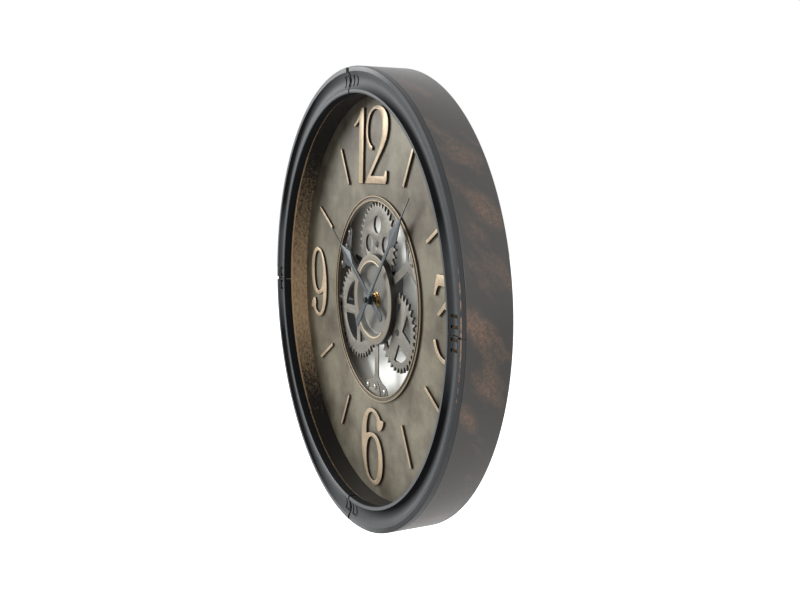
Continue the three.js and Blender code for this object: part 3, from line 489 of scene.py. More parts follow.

# Gold lines: pale gold on the crests of the two beads, partly as painted highlight, grey
# bronze between them and painted shade in brown on their flanks.
ring_paint = new_finish("gold_lined_ring_paint")
where = add(ring_paint, "ShaderNodeTexCoord")
axes = add(ring_paint, "ShaderNodeSeparateXYZ", {0: where.outputs["Object"]})
facing = add(ring_paint, "ShaderNodeSeparateXYZ", {0: where.outputs["Normal"]})
frontal = add(ring_paint, "ShaderNodeMath", {0: facing.outputs[1]}, operation="ABSOLUTE")
# Pale gold on the beads' crests, partly paint and partly painted highlight.
crest_gold_and_highlight = add(
    ring_paint,
    "ShaderNodeMapRange",
    {
        "Value": axes.outputs[1],
        "From Min": (FRONT + BEAD_TOP + 0.5) / 1000,
        "From Max": (FRONT + BEAD_TOP + 0.1) / 1000,
    },
)
upper = add(
    ring_paint,
    "ShaderNodeMapRange",
    {"Value": frontal.outputs[0], "From Min": 0.45, "From Max": 0.85},
)
strokes = add(
    ring_paint,
    "ShaderNodeTexNoise",
    {"Vector": where.outputs["Object"], "Scale": 1000 / 5.56, "Detail": 5.0, "Roughness": 0.65},
)
gold = add(
    ring_paint,
    "ShaderNodeMix",
    {0: strokes.outputs[0], 6: linear("#64573f"), 7: linear("#918067")},
    data_type="RGBA",
)
highlight_lined = add(
    ring_paint,
    "ShaderNodeMix",
    {0: crest_gold_and_highlight.outputs[0], 6: linear("#4f4a3f"), 7: gold.outputs[2]},
    data_type="RGBA",
)
# Painted shade: the beads' flanks, turned from the front, are brown.
toned = add(
    ring_paint,
    "ShaderNodeMix",
    {0: upper.outputs[0], 6: linear("#37302a"), 7: highlight_lined.outputs[2]},
    data_type="RGBA",
)
gloss = add(
    ring_paint,
    "ShaderNodeMapRange",
    {"Value": strokes.outputs[0], "To Min": 0.38, "To Max": 0.58},
)
shader = add(
    ring_paint,
    "ShaderNodeBsdfPrincipled",
    {"Base Color": toned.outputs[2], "Roughness": gloss.outputs[0], "Metallic": 0.4},
)
add(ring_paint, "ShaderNodeOutputMaterial", {"Surface": shader.outputs[0]})
fit(window_ring, "clock", "pale_gold", ring_paint, "window_ring")


# The numerals are cut from 2 mm sheet and stood on the dial. Their fronts are painted
# a pale gold, their cut sides are dark brown as painted shade, and the cut leaves a slightly rounded edge.
def eased_copy(node, width, segments=2, corner=35.0):
    """Copy a CAD node, clean its flat faces and round its edges by a width in mm."""
    bpy.ops.object.select_all(action="DESELECT")
    piece = bpy.data.objects.new(node + "_eased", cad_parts[node].data.copy())
    bpy.context.scene.collection.objects.link(piece)
    bpy.context.view_layer.objects.active = piece
    piece.select_set(True)
    bpy.ops.object.mode_set(mode="EDIT")
    bpy.ops.mesh.select_all(action="SELECT")
    bpy.ops.mesh.remove_doubles(threshold=2e-6)
    bpy.ops.mesh.dissolve_limited(angle_limit=math.radians(1.0))
    bpy.ops.object.mode_set(mode="OBJECT")
    rounding = piece.modifiers.new("eased edges", "BEVEL")
    rounding.width = width / 1000
    rounding.segments = segments
    rounding.limit_method = "ANGLE"
    rounding.angle_limit = math.radians(corner)
    bpy.ops.object.modifier_apply(modifier=rounding.name)
    bpy.ops.object.shade_smooth_by_angle(angle=SMOOTH)
    return piece


def gilded(name, top, side, low_side=0.35, high_side=0.9):
    """Painted metal with a brushed top colour and a darker side, told apart by how far
    the surface turns away from the front."""
    paint = new_finish(name)
    where = add(paint, "ShaderNodeTexCoord")
    facing = add(paint, "ShaderNodeSeparateXYZ", {0: where.outputs["Normal"]})
    frontal = add(paint, "ShaderNodeMath", {0: facing.outputs[1]}, operation="ABSOLUTE")
    upper = add(
        paint,
        "ShaderNodeMapRange",
        {"Value": frontal.outputs[0], "From Min": low_side, "From Max": high_side},
    )
    strokes = add(
        paint,
        "ShaderNodeTexNoise",
        {"Vector": where.outputs["Object"], "Scale": 1000 / 3.85, "Detail": 4.0, "Roughness": 0.65},
    )
    patches = add(
        paint,
        "ShaderNodeTexNoise",
        {"Vector": where.outputs["Object"], "Scale": 1000 / 29.4, "Detail": 4.0},
    )
    mottle = add(
        paint,
        "ShaderNodeMath",
        {0: strokes.outputs[0], 1: patches.outputs[0]},
        operation="MULTIPLY",
    )
    worn = add(
        paint,
        "ShaderNodeMapRange",
        {"Value": mottle.outputs[0], "From Min": 0.14, "From Max": 0.4, "To Min": 0.72, "To Max": 1.12},
    )
    bright = add(
        paint,
        "ShaderNodeVectorMath",
        {0: linear(top)[:3], 3: worn.outputs[0]},
        operation="SCALE",
    )
    toned = add(
        paint,
        "ShaderNodeMix",
        {0: upper.outputs[0], 6: linear(side), 7: bright.outputs[0]},
        data_type="RGBA",
    )
    gloss = add(
        paint,
        "ShaderNodeMapRange",
        {"Value": strokes.outputs[0], "To Min": 0.38, "To Max": 0.58},
    )
    relief = add(
        paint,
        "ShaderNodeBump",
        {"Height": strokes.outputs[0], "Strength": 0.1, "Distance": 0.0002},
    )
    coat = add(
        paint,
        "ShaderNodeBsdfPrincipled",
        {
            "Base Color": toned.outputs[2],
            "Roughness": gloss.outputs[0],
            "Metallic": 0.4,
            "Normal": relief.outputs[0],
        },
    )
    add(paint, "ShaderNodeOutputMaterial", {"Surface": coat.outputs[0]})
    return paint


# Gold paint: pale, brushed in fine strokes and a little mottled, with brown cut sides that are painted
# shade.
numeral_gold = gilded("pale_gold_numerals", "#a08e75", "#28211b")
for node in ("numeral_12_one", "numeral_12_two", "numeral_3", "numeral_6", "numeral_9"):
    fit(eased_copy(node, 0.35), "clock", "pale_gold", numeral_gold, node)


# The eight batons between the numerals are short bars of the same sheet. One is made
# from a block with eased edges and copied round the dial.
BATON_WIDTH = 3.5
BATON_THICK = 2.1
BATON_LONG = 43.0
BATON_RADIUS = 154.5  # of a baton's middle
bpy.ops.object.select_all(action="DESELECT")
bpy.ops.mesh.primitive_cube_add(size=1)
bar = bpy.context.object
bpy.ops.object.mode_set(mode="EDIT")
bpy.ops.transform.resize(value=Vector((BATON_WIDTH, BATON_THICK, BATON_LONG)) / 1000)
bpy.ops.mesh.bevel(offset=0.0004, segments=3, affect="EDGES")
bpy.ops.transform.translate(value=at(BATON_RADIUS, RING_BACK - BATON_THICK / 2, 90))
bpy.ops.object.mode_set(mode="OBJECT")
bpy.ops.object.shade_smooth_by_angle(angle=SMOOTH)
for hour in (1, 2, 4, 5, 7, 8, 10, 11):
    mesh = bar.data.copy()
    mesh.transform(Matrix.Rotation(math.radians(hour * 30), 4, "Y"))
    baton = bpy.data.objects.new(f"baton_{hour}_bar", mesh)
    bpy.context.scene.collection.objects.link(baton)
    fit(baton, "clock", "pale_gold", numeral_gold, f"baton_{hour}")
bpy.data.objects.remove(bar)


# The trim is pressed from sheet steel in four quadrants that butt together at twelve,
# three, six and nine. Each has a raised outer bead, a hollow and an inner bead, and
# near each seam a slit that frees a locking tongue.
SEAM = 0.9
TRIM_BACK = 5.0  # depth of the trim's outer edge
TRIM_INNER = LINER - 1.5  # radius of the trim's inner edge
TRIM_RETURN = 9.4  # depth to which the inner edge turns back
HOLLOW_OUTER = RADIUS - 4.9
HOLLOW_INNER = TRIM_INNER + 3.5
HOLLOW_DEPTH = 3.0
INNER_BEAD = 0.3  # depth of the inner bead's crest
SEAM_RADIUS = 217.0  # where a seam's width is measured
OUTER_BEAD = (HOLLOW_OUTER - 0.3, RADIUS - 0.4)  # radii of the bead's two sides
SLIT = (210.5, 221.5)  # radii of a slit's inner and outer side
SLIT_BAR = 1.7
SLIT_LEG = 2.6
SLIT_LENGTH = 11.5
half_seam = math.degrees(SEAM / 2 / SEAM_RADIUS)
# In cross-section the hollow is a parabola between the two beads.
hollow = [
    (
        HOLLOW_OUTER + (HOLLOW_INNER - HOLLOW_OUTER) * share,
        INNER_BEAD * share + 4 * HOLLOW_DEPTH * share * (1 - share),
        0.0,
    )
    for share in (step / 16 for step in range(17))
]
quadrant = spin_profile(
    "trim_quadrant",
    [(RADIUS, TRIM_BACK, 0.25), (RADIUS, 0.0, 1.1)]
    + hollow
    + [(TRIM_INNER, INNER_BEAD, 1.2), (TRIM_INNER, TRIM_RETURN, 0.3)]
    + [(TRIM_INNER + SHEET, TRIM_RETURN, 0.3), (TRIM_INNER + SHEET, INNER_BEAD + SHEET, 0.3)]
    + [(radius, depth + SHEET, 0.0) for radius, depth, rounding in reversed(hollow)]
    + [(RADIUS - SHEET, 1.3, 0.3), (RADIUS - SHEET, TRIM_BACK, 0.25)],
    start=half_seam,
    sweep=90 - 2 * half_seam,
    steps=90,
)


def cut_box(piece, low, high):
    """Cut a box, given in millimetres of X, depth and Z, out of a piece."""
    bpy.ops.object.select_all(action="DESELECT")
    middle = [(a + b) / 2 for a, b in zip(low, high)]
    bpy.ops.mesh.primitive_cube_add(
        size=1,
        location=(middle[0] / 1000, (middle[1] + FRONT) / 1000, middle[2] / 1000),
        scale=[(b - a) / 1000 for a, b in zip(low, high)],
    )
    cutter = bpy.context.object
    cut = piece.modifiers.new("cut", "BOOLEAN")
    cut.object = cutter
    cut.operation = "DIFFERENCE"
    cut.solver = "EXACT"
    bpy.context.view_layer.objects.active = piece
    bpy.ops.object.modifier_apply(modifier=cut.name)
    bpy.data.objects.remove(cutter)


# Charcoal enamel with a satin gloss: near-black blue grey, a little lighter in soft
# clouds. Painted shade blackens the flanks that face three o'clock, the slits, the inner
# edge and the seams at twelve and six, and darkens and dulls the outer bead on the right.
# Near three o'clock the painted shade in the hollow is weaker, and the outer edge is rubbed to copper.
enamel = new_finish("charcoal_enamel")
where = add(enamel, "ShaderNodeTexCoord")
place = where.outputs["Object"]
axes = add(enamel, "ShaderNodeSeparateXYZ", {0: place})
flat = add(enamel, "ShaderNodeCombineXYZ", {0: axes.outputs[0], 1: axes.outputs[2]})
radius = add(enamel, "ShaderNodeVectorMath", {0: flat.outputs[0]}, operation="LENGTH").outputs["Value"]
clouds = add(enamel, "ShaderNodeTexNoise", {"Vector": place, "Scale": 1000 / 38.5, "Detail": 5.0})
grey = add(
    enamel,
    "ShaderNodeMix",
    {0: clouds.outputs[0], 6: linear("#35373a"), 7: linear("#474a4c")},
    data_type="RGBA",
)
facing = add(enamel, "ShaderNodeSeparateXYZ", {0: where.outputs["Normal"]})
frontal = add(enamel, "ShaderNodeMath", {0: facing.outputs[1]}, operation="ABSOLUTE")
in_hollow = add(
    enamel,
    "ShaderNodeMath",
    {
        0: radius,
        1: (HOLLOW_OUTER + HOLLOW_INNER) / 2000,
        2: (HOLLOW_OUTER - HOLLOW_INNER + 0.3) / 2000,
    },
    operation="COMPARE",
)
# Painted shade on the hollow's flanks that face three o'clock.
flank_shade = add(
    enamel,
    "ShaderNodeMapRange",
    {"Value": facing.outputs[0], "From Min": -0.15, "From Max": 0.24},
)
flank_shade = add(
    enamel,
    "ShaderNodeMath",
    {0: flank_shade.outputs[0], 1: in_hollow.outputs[0]},
    operation="MULTIPLY",
)
# Near three o'clock the painted flank shade is weaker.
off_three = add(enamel, "ShaderNodeMath", {0: axes.outputs[2], 1: 0.015}, operation="SUBTRACT")
off_three = add(enamel, "ShaderNodeMath", {0: off_three.outputs[0]}, operation="ABSOLUTE")
weaker_shade_near_three = add(
    enamel,
    "ShaderNodeMapRange",
    {"Value": off_three.outputs[0], "From Min": 0.04, "From Max": 0.08, "To Min": 0.65},
)
flank_shade = add(enamel, "ShaderNodeMath", {0: flank_shade.outputs[0], 1: weaker_shade_near_three.outputs[0]}, operation="MULTIPLY")
# Painted shade on the walls of the slits.
near_slit = add(
    enamel,
    "ShaderNodeMath",
    {0: radius, 1: sum(SLIT) / 2000, 2: (SLIT[1] - SLIT[0] + 0.6) / 2000},
    operation="COMPARE",
)
wall = add(
    enamel,
    "ShaderNodeMapRange",
    {"Value": frontal.outputs[0], "From Min": 0.7, "From Max": 0.6},
)
wall = add(
    enamel,
    "ShaderNodeMath",
    {0: wall.outputs[0], 1: near_slit.outputs[0]},
    operation="MULTIPLY",
)
# Painted shade on the trim's inner edge.
inside = add(
    enamel,
    "ShaderNodeMapRange",
    {
        "Value": radius,
        "From Min": (TRIM_INNER + 0.25) / 1000,
        "From Max": (TRIM_INNER + 0.05) / 1000,
        "To Max": 0.85,
    },
)
chips = add(
    enamel,
    "ShaderNodeTexNoise",
    {"Vector": place, "Scale": 1000 / 6.67, "Detail": 6.0, "Roughness": 0.7},
)
# Painted shade along the seams at twelve and six, with a wandering edge.
wander = add(
    enamel,
    "ShaderNodeMath",
    {0: chips.outputs[0], 1: 0.006, 2: -0.003},
    operation="MULTIPLY_ADD",
)
across = add(enamel, "ShaderNodeMath", {0: axes.outputs[0], 1: wander.outputs[0]}, operation="ADD")
across = add(enamel, "ShaderNodeMath", {0: across.outputs[0]}, operation="ABSOLUTE")
seam_shade = add(
    enamel,
    "ShaderNodeMapRange",
    {"Value": across.outputs[0], "From Min": 0.0021, "From Max": 0.0012},
)
# Painted shade that darkens and dulls the outer bead on the right.
bead_shade = add(
    enamel,
    "ShaderNodeMath",
    {0: radius, 1: sum(OUTER_BEAD) / 2000, 2: (OUTER_BEAD[1] - OUTER_BEAD[0]) / 2000},
    operation="COMPARE",
)
right_side = add(
    enamel,
    "ShaderNodeMapRange",
    {"Value": axes.outputs[0], "From Min": 0.04, "From Max": 0.1, "To Max": 0.5},
)
bead_shade = add(
    enamel,
    "ShaderNodeMath",
    {0: bead_shade.outputs[0], 1: right_side.outputs[0]},
    operation="MULTIPLY",
)
# All the painted shade is gathered here and mixed in as near black, with less shine.
painted_shade = flank_shade.outputs[0]
for other in (wall, bead_shade, inside, seam_shade):
    painted_shade = add(enamel, "ShaderNodeMath", {0: painted_shade, 1: other.outputs[0]}, operation="MAXIMUM").outputs[0]
shaded_grey = add(
    enamel,
    "ShaderNodeMix",
    {0: painted_shade, 6: grey.outputs[2], 7: linear("#08080a")},
    data_type="RGBA",
)
three_side = add(
    enamel,
    "ShaderNodeMapRange",
    {"Value": axes.outputs[0], "From Min": 0.212, "From Max": 0.229, "To Max": 0.45},
)
edge = add(
    enamel,
    "ShaderNodeMapRange",
    {
        "Value": radius,
        "From Min": (RADIUS - SHEET) / 1000,
        "From Max": (RADIUS - 0.5) / 1000,
        "To Min": -0.6,
        "To Max": 0.0,
    },
)
foremost = add(
    enamel,
    "ShaderNodeMapRange",
    {
        "Value": axes.outputs[1],
        "From Min": (FRONT + 1.4) / 1000,
        "From Max": (FRONT + 0.9) / 1000,
        "To Min": -0.6,
        "To Max": 0.0,
    },
)
share = three_side.outputs[0]
for more in (edge, foremost, chips):
    share = add(enamel, "ShaderNodeMath", {0: share, 1: more.outputs[0]}, operation="ADD").outputs[0]
chipped = add(
    enamel,
    "ShaderNodeMapRange",
    {"Value": share, "From Min": 0.82, "From Max": 1.0},
)
colour = add(
    enamel,
    "ShaderNodeMix",
    {0: chipped.outputs[0], 6: shaded_grey.outputs[2], 7: linear("#9a7c66")},
    data_type="RGBA",
)
gloss = add(enamel, "ShaderNodeMapRange", {"Value": painted_shade, "To Min": 0.38, "To Max": 0.8})
shine = add(enamel, "ShaderNodeMapRange", {"Value": painted_shade, "To Min": 0.25, "To Max": 0.03})
relief = add(
    enamel,
    "ShaderNodeBump",
    {"Height": chips.outputs[0], "Strength": 0.06, "Distance": 0.0002},
)
shader = add(
    enamel,
    "ShaderNodeBsdfPrincipled",
    {
        "Base Color": colour.outputs[2],
        "Roughness": gloss.outputs[0],
        "Specular IOR Level": shine.outputs[0],
        "Normal": relief.outputs[0],
    },
)
add(enamel, "ShaderNodeOutputMaterial", {"Surface": shader.outputs[0]})

# Each quadrant's two ends, going anticlockwise: how far from the seam its slit starts
# and how far its outer bead is cut back. A slit is a bar along the trim with a leg
# inwards at each end.
ends = (
    ("bezel_upper_right", (5.6, 0.9), (7.6, 0.5)),
    ("bezel_upper_left", (1.5, 5.5), (2, 1.2)),
    ("bezel_lower_left", (2.5, 2.7), (1.5, 0.9)),
    ("bezel_lower_right", (5, 0.9), (2, 0.9)),
)
for quarter, (node, *both) in enumerate(ends):
    trim = bpy.data.objects.new(node + "_trim", quadrant.data.copy())
    bpy.context.scene.collection.objects.link(trim)
    for at_first, (slit, cut_back) in zip((True, False), both):
        bars = (
            (SLIT[1] - SLIT_BAR, slit, SLIT[1], slit + SLIT_LENGTH, 0.1, 5.2),
            (SLIT[0], slit, SLIT[1], slit + SLIT_LEG, 0.1, 5.2),
            (SLIT[0], slit + SLIT_LENGTH - SLIT_LEG, SLIT[1], slit + SLIT_LENGTH, 0.1, 5.2),
            (OUTER_BEAD[0], -1, RADIUS + 10, cut_back, -1, 6),
        )
        for inner, near, outer, far, front, back in bars:
            if at_first:
                cut_box(trim, (inner, front, near), (outer, back, far))
            else:
                cut_box(trim, (near, front, inner), (far, back, outer))
    trim.data.transform(Matrix.Rotation(math.radians(-90 * quarter), 4, "Y"))
    fit(trim, "clock", "charcoal", enamel, node)
bpy.data.objects.remove(quadrant)


# The disc is a shallow dish pressed from sheet. A flat band runs round it, two raised
# arcs stand on the band's inner edge, and the floor is a cooler grey than the band.
DISC = 46.5  # radius
DISC_SHEET = 0.8
DISC_BORE = 3.8
FLOOR_DEPTH = 31.0
BAND_DEPTH = 25.6
BAND_INNER = DISC - 8.5
RIDGE_INNER = BAND_INNER + 0.3
RIDGE_WIDTH = 1.6
disc = spin_profile(
    "dish_disc",
    [
        (DISC_BORE, FLOOR_DEPTH, 0.0),
        (BAND_INNER - 3, FLOOR_DEPTH, 1.2),
        (BAND_INNER, BAND_DEPTH, 0.7),
        (DISC, BAND_DEPTH, 0.9),
        (DISC, FLOOR_DEPTH + DISC_SHEET, 0.2),
        (DISC - DISC_SHEET, FLOOR_DEPTH + DISC_SHEET, 0.2),
        (DISC - DISC_SHEET, BAND_DEPTH + DISC_SHEET, 0.4),
        (BAND_INNER + 0.5, BAND_DEPTH + DISC_SHEET, 0.4),
        (BAND_INNER - 2.5, FLOOR_DEPTH + DISC_SHEET, 0.6),
        (DISC_BORE, FLOOR_DEPTH + DISC_SHEET, 0.0),
    ],
    steps=160,
)
for start, sweep in ((55, 82), (214, 95)):
    spin_profile(
        "dish_ridge",
        [
            (RIDGE_INNER, BAND_DEPTH + 0.3, 0.0),
            (RIDGE_INNER, BAND_DEPTH - 0.7, 0.55),
            (RIDGE_INNER + RIDGE_WIDTH, BAND_DEPTH - 0.7, 0.55),
            (RIDGE_INNER + RIDGE_WIDTH, BAND_DEPTH + 0.3, 0.0),
        ],
        start=start,
        sweep=sweep,
        steps=48,
    )
    disc.select_set(True)
    bpy.context.view_layer.objects.active = disc
    bpy.ops.object.join()

# Dish metal: a soft grey floor, a browner band, painted highlight in pale gold on the arcs and
# painted shade on the dark rim.
dish_metal = new_finish("pressed_dish_metal")
where = add(dish_metal, "ShaderNodeTexCoord")
axes = add(dish_metal, "ShaderNodeSeparateXYZ", {0: where.outputs["Object"]})
band_share = add(
    dish_metal,
    "ShaderNodeMapRange",
    {
        "Value": axes.outputs[1],
        "From Min": (FRONT + BAND_DEPTH + 1.3) / 1000,
        "From Max": (FRONT + BAND_DEPTH + 0.2) / 1000,
    },
)
# Painted highlight: the raised arcs' crests are pale gold.
ridge_highlight_share = add(
    dish_metal,
    "ShaderNodeMapRange",
    {
        "Value": axes.outputs[1],
        "From Min": (FRONT + BAND_DEPTH - 0.1) / 1000,
        "From Max": (FRONT + BAND_DEPTH - 0.5) / 1000,
    },
)
soft = add(
    dish_metal,
    "ShaderNodeTexNoise",
    {"Vector": where.outputs["Object"], "Scale": 1000 / 25, "Detail": 5.0},
)
fine = add(
    dish_metal,
    "ShaderNodeTexNoise",
    {"Vector": where.outputs["Object"], "Scale": 1000 / 2.86, "Detail": 3.0},
)
floor_grey = add(
    dish_metal,
    "ShaderNodeMix",
    {0: soft.outputs[0], 6: linear("#595955"), 7: linear("#6b6963")},
    data_type="RGBA",
)
banded = add(
    dish_metal,
    "ShaderNodeMix",
    {0: band_share.outputs[0], 6: floor_grey.outputs[2], 7: linear("#6b655a")},
    data_type="RGBA",
)
ridge_highlighted = add(
    dish_metal,
    "ShaderNodeMix",
    {0: ridge_highlight_share.outputs[0], 6: banded.outputs[2], 7: linear("#ad9e86")},
    data_type="RGBA",
)
flat = add(dish_metal, "ShaderNodeCombineXYZ", {0: axes.outputs[0], 1: axes.outputs[2]})
radius = add(dish_metal, "ShaderNodeVectorMath", {0: flat.outputs[0]}, operation="LENGTH")
# Painted shade: the dish's outer edge is near black.
rim = add(
    dish_metal,
    "ShaderNodeMapRange",
    {
        "Value": radius.outputs["Value"],
        "From Min": (DISC - 0.4) / 1000,
        "From Max": (DISC - 0.1) / 1000,
    },
)
rim_shaded = add(
    dish_metal,
    "ShaderNodeMix",
    {0: rim.outputs[0], 6: ridge_highlighted.outputs[2], 7: linear("#221d19")},
    data_type="RGBA",
)
gloss = add(dish_metal, "ShaderNodeMapRange", {"Value": fine.outputs[0], "To Min": 0.44, "To Max": 0.6})
relief = add(
    dish_metal,
    "ShaderNodeBump",
    {"Height": fine.outputs[0], "Strength": 0.08, "Distance": 0.0002},
)
shader = add(
    dish_metal,
    "ShaderNodeBsdfPrincipled",
    {
        "Base Color": rim_shaded.outputs[2],
        "Roughness": gloss.outputs[0],
        "Metallic": 0.4,
        "Normal": relief.outputs[0],
    },
)
add(dish_metal, "ShaderNodeOutputMaterial", {"Surface": shader.outputs[0]})
fit(disc, "clock", "gear_bronze", dish_metal, "centre_disc")


# Three arms of thicker sheet carry the disc. Each ends in a forked foot that is
# screwed to the back of the dial, and has the gears' grey bronze with dark cut edges.
# The left arm's paint is darker and duller, as painted shade.
gear_grey = gilded("grey_bronze_cut_edges", "#6e6b63", "#191715", 0.3, 0.85)
# Painted shade: the left arm's paint is darker and duller.
shaded_arm_grey = gilded("shaded_dull_bronze_cut_edges", "#33312d", "#141210", 0.3, 0.85)
for node, paint in (("arm_lower", gear_grey), ("arm_right", gear_grey), ("arm_left", shaded_arm_grey)):
    fit(eased_copy(node, 0.25), "clock", "gear_bronze", paint, node)


# Nine small dome-headed screws hold the feet. They are zinc-plated steel with a cross
# recess, made once and copied to each screw's place. Those of the two upper feet take
# the arms' grey paint as painted shade.
HEAD = 3.0  # radius
SHANK = HEAD / 2
HEAD_TOP = 29.3  # depth of the dome's top
HEAD_BACK = HEAD_TOP + 1.5
SCREW_TIP = 33.4
screw = spin_profile(
    "dome_screw",
    [
        (0.0, HEAD_TOP, 0.0),
        (0.4 * HEAD, HEAD_TOP + 0.1, 0.5),
        (HEAD - 0.7, HEAD_TOP + 0.6, 0.6),
        (HEAD, HEAD_BACK, 0.15),
        (SHANK, HEAD_BACK, 0.0),
        (SHANK, SCREW_TIP, 0.2),
        (0.0, SCREW_TIP, 0.0),
    ],
    steps=32,
)
for width, height in ((1.3, 0.3), (0.3, 1.3)):
    cut_box(screw, (-width, HEAD_TOP - 0.3, -height), (width, HEAD_TOP + 0.6, height))

# Zinc plate: a light grey metal, its shine a little broken by a fine film.
zinc = new_finish("zinc_plated_steel")
place = add(zinc, "ShaderNodeTexCoord").outputs["Object"]
film = add(zinc, "ShaderNodeTexNoise", {"Vector": place, "Scale": 1000 / 2, "Detail": 3.0})
tint = add(
    zinc,
    "ShaderNodeMix",
    {0: film.outputs[0], 6: linear("#83827e"), 7: linear("#a5a49d")},
    data_type="RGBA",
)
gloss = add(zinc, "ShaderNodeMapRange", {"Value": film.outputs[0], "To Min": 0.3, "To Max": 0.45})
shader = add(
    zinc,
    "ShaderNodeBsdfPrincipled",
    {"Base Color": tint.outputs[2], "Roughness": gloss.outputs[0], "Metallic": 1.0},
)
add(zinc, "ShaderNodeOutputMaterial", {"Surface": shader.outputs[0]})
for side in ("lower", "right", "left"):
    for order in ("first", "middle", "last"):
        node = f"foot_screw_{side}_{order}"
        low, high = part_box(node)
        mesh = screw.data.copy()
        mesh.transform(Matrix.Translation(((low.x + high.x) / 2, 0, (low.z + high.z) / 2)))
        fixed = bpy.data.objects.new(node + "_dome", mesh)
        bpy.context.scene.collection.objects.link(fixed)
        # The screws of the two upper feet get the arms' grey as painted shade.
        fit(fixed, "clock", "steel", zinc if side == "lower" else gear_grey, node)
bpy.data.objects.remove(screw)


# The bridge behind the dish carries the gears and the movement. It, its pillars and
# the axles are blackened steel, laser-cut or turned.

# Blackened steel: a warm near-black with a dull sheen and a slight roughness.
black_steel = new_finish("blackened_steel")
place = add(black_steel, "ShaderNodeTexCoord").outputs["Object"]
film = add(
    black_steel,
    "ShaderNodeTexNoise",
    {"Vector": place, "Scale": 1000 / 4.17, "Detail": 5.0, "Roughness": 0.65},
)
tint = add(
    black_steel,
    "ShaderNodeMix",
    {0: film.outputs[0], 6: linear("#1d1c1b"), 7: linear("#33312f")},
    data_type="RGBA",
)
gloss = add(
    black_steel,
    "ShaderNodeMapRange",
    {"Value": film.outputs[0], "To Min": 0.4, "To Max": 0.62},
)
relief = add(
    black_steel,
    "ShaderNodeBump",
    {"Height": film.outputs[0], "Strength": 0.1, "Distance": 0.0002},
)
shader = add(
    black_steel,
    "ShaderNodeBsdfPrincipled",
    {
        "Base Color": tint.outputs[2],
        "Roughness": gloss.outputs[0],
        "Metallic": 0.5,
        "Normal": relief.outputs[0],
    },
)
add(black_steel, "ShaderNodeOutputMaterial", {"Surface": shader.outputs[0]})
fit(eased_copy("bridge", 0.2), "clock", "black_steel", black_steel, "bridge")
for node in ("pillar_lower", "pillar_right", "pillar_left", "axle_top", "axle_left", "axle_right"):
    fit(eased_copy(node, 0.25), "clock", "black_steel", black_steel, node)


# The three gears are stamped from 2.6 mm plate and painted like the arms, with the
# punched sides of teeth and windows left dark.
for node, body in (("gear_left", "left_gear"), ("gear_top", "top_gear"), ("gear_right", "right_gear")):
    fit(eased_copy(node, 0.25), body, "gear_bronze", gear_grey, node)


# The two small pinions, the bush with its washer and the hex nut are turned and milled
# brass, a little dull from handling. The idler's axle is plated steel.

# Turned brass: a clear yellow metal with soft clouds in its shine.
brass = new_finish("turned_brass")
place = add(brass, "ShaderNodeTexCoord").outputs["Object"]
film = add(brass, "ShaderNodeTexNoise", {"Vector": place, "Scale": 1000 / 3.125, "Detail": 4.0})
tint = add(
    brass,
    "ShaderNodeMix",
    {0: film.outputs[0], 6: linear("#a5834d"), 7: linear("#d2b377")},
    data_type="RGBA",
)
gloss = add(brass, "ShaderNodeMapRange", {"Value": film.outputs[0], "To Min": 0.2, "To Max": 0.38})
shader = add(
    brass,
    "ShaderNodeBsdfPrincipled",
    {"Base Color": tint.outputs[2], "Roughness": gloss.outputs[0], "Metallic": 1.0},
)
add(brass, "ShaderNodeOutputMaterial", {"Surface": shader.outputs[0]})
fit(eased_copy("idler_pinion", 0.15), "idler", "brass", brass, "idler_pinion")
fit(eased_copy("drive_pinion", 0.15), "drive", "brass", brass, "drive_pinion")
fit(eased_copy("idler_axle", 0.15), "clock", "steel", zinc, "idler_axle")
fit(eased_copy("hub_washer", 0.12), "clock", "brass", brass, "hub_washer")
fit(eased_copy("hex_nut", 0.35), "clock", "brass", brass, "hex_nut")

# The bush's fine thread is drawn as rings, one for each turn.
BUSH = 3.5  # radius
BUSH_BORE = 2.8
BUSH_FRONT = 27.2
BUSH_BACK = 35.3
THREAD_DEPTH = 0.25
THREAD_PITCH = 0.7
thread = [
    (BUSH - THREAD_DEPTH * (step % 2), BUSH_FRONT + 0.4 + THREAD_PITCH / 2 * step, 0.0)
    for step in range(20)
]
bush = spin_profile(
    "threaded_bush_turned",
    [(BUSH_BORE, BUSH_FRONT, 0.1), (BUSH, BUSH_FRONT, 0.25)]
    + thread
    + [(BUSH, BUSH_BACK, 0.2), (BUSH_BORE, BUSH_BACK, 0.1)],
    steps=48,
)
fit(bush, "clock", "brass", brass, "threaded_bush")


# The clock movement and the drive unit are moulded in black plastic with a fine matt
# spark texture. They hold a cell each. The knob at the back sets the hands, and the
# switch of the drive unit is plated steel.

# Moulded plastic: a neutral black with a matt, finely pitted surface.
moulding = new_finish("moulded_black_plastic")
place = add(moulding, "ShaderNodeTexCoord").outputs["Object"]
spark = add(moulding, "ShaderNodeTexNoise", {"Vector": place, "Scale": 1000 / 0.714, "Detail": 2.0})
tint = add(
    moulding,
    "ShaderNodeMix",
    {0: spark.outputs[0], 6: linear("#17171a"), 7: linear("#232327")},
    data_type="RGBA",
)
gloss = add(moulding, "ShaderNodeMapRange", {"Value": spark.outputs[0], "To Min": 0.45, "To Max": 0.6})
relief = add(
    moulding,
    "ShaderNodeBump",
    {"Height": spark.outputs[0], "Strength": 0.25, "Distance": 0.0001},
)
shader = add(
    moulding,
    "ShaderNodeBsdfPrincipled",
    {"Base Color": tint.outputs[2], "Roughness": gloss.outputs[0], "Normal": relief.outputs[0]},
)
add(moulding, "ShaderNodeOutputMaterial", {"Surface": shader.outputs[0]})
fit(eased_copy("movement_case", 0.5), "clock", "black_plastic", moulding, "movement_case")
fit(eased_copy("drive_case", 0.5), "clock", "black_plastic", moulding, "drive_case")
fit(eased_copy("setting_knob", 0.2), "knob", "black_plastic", moulding, "setting_knob")
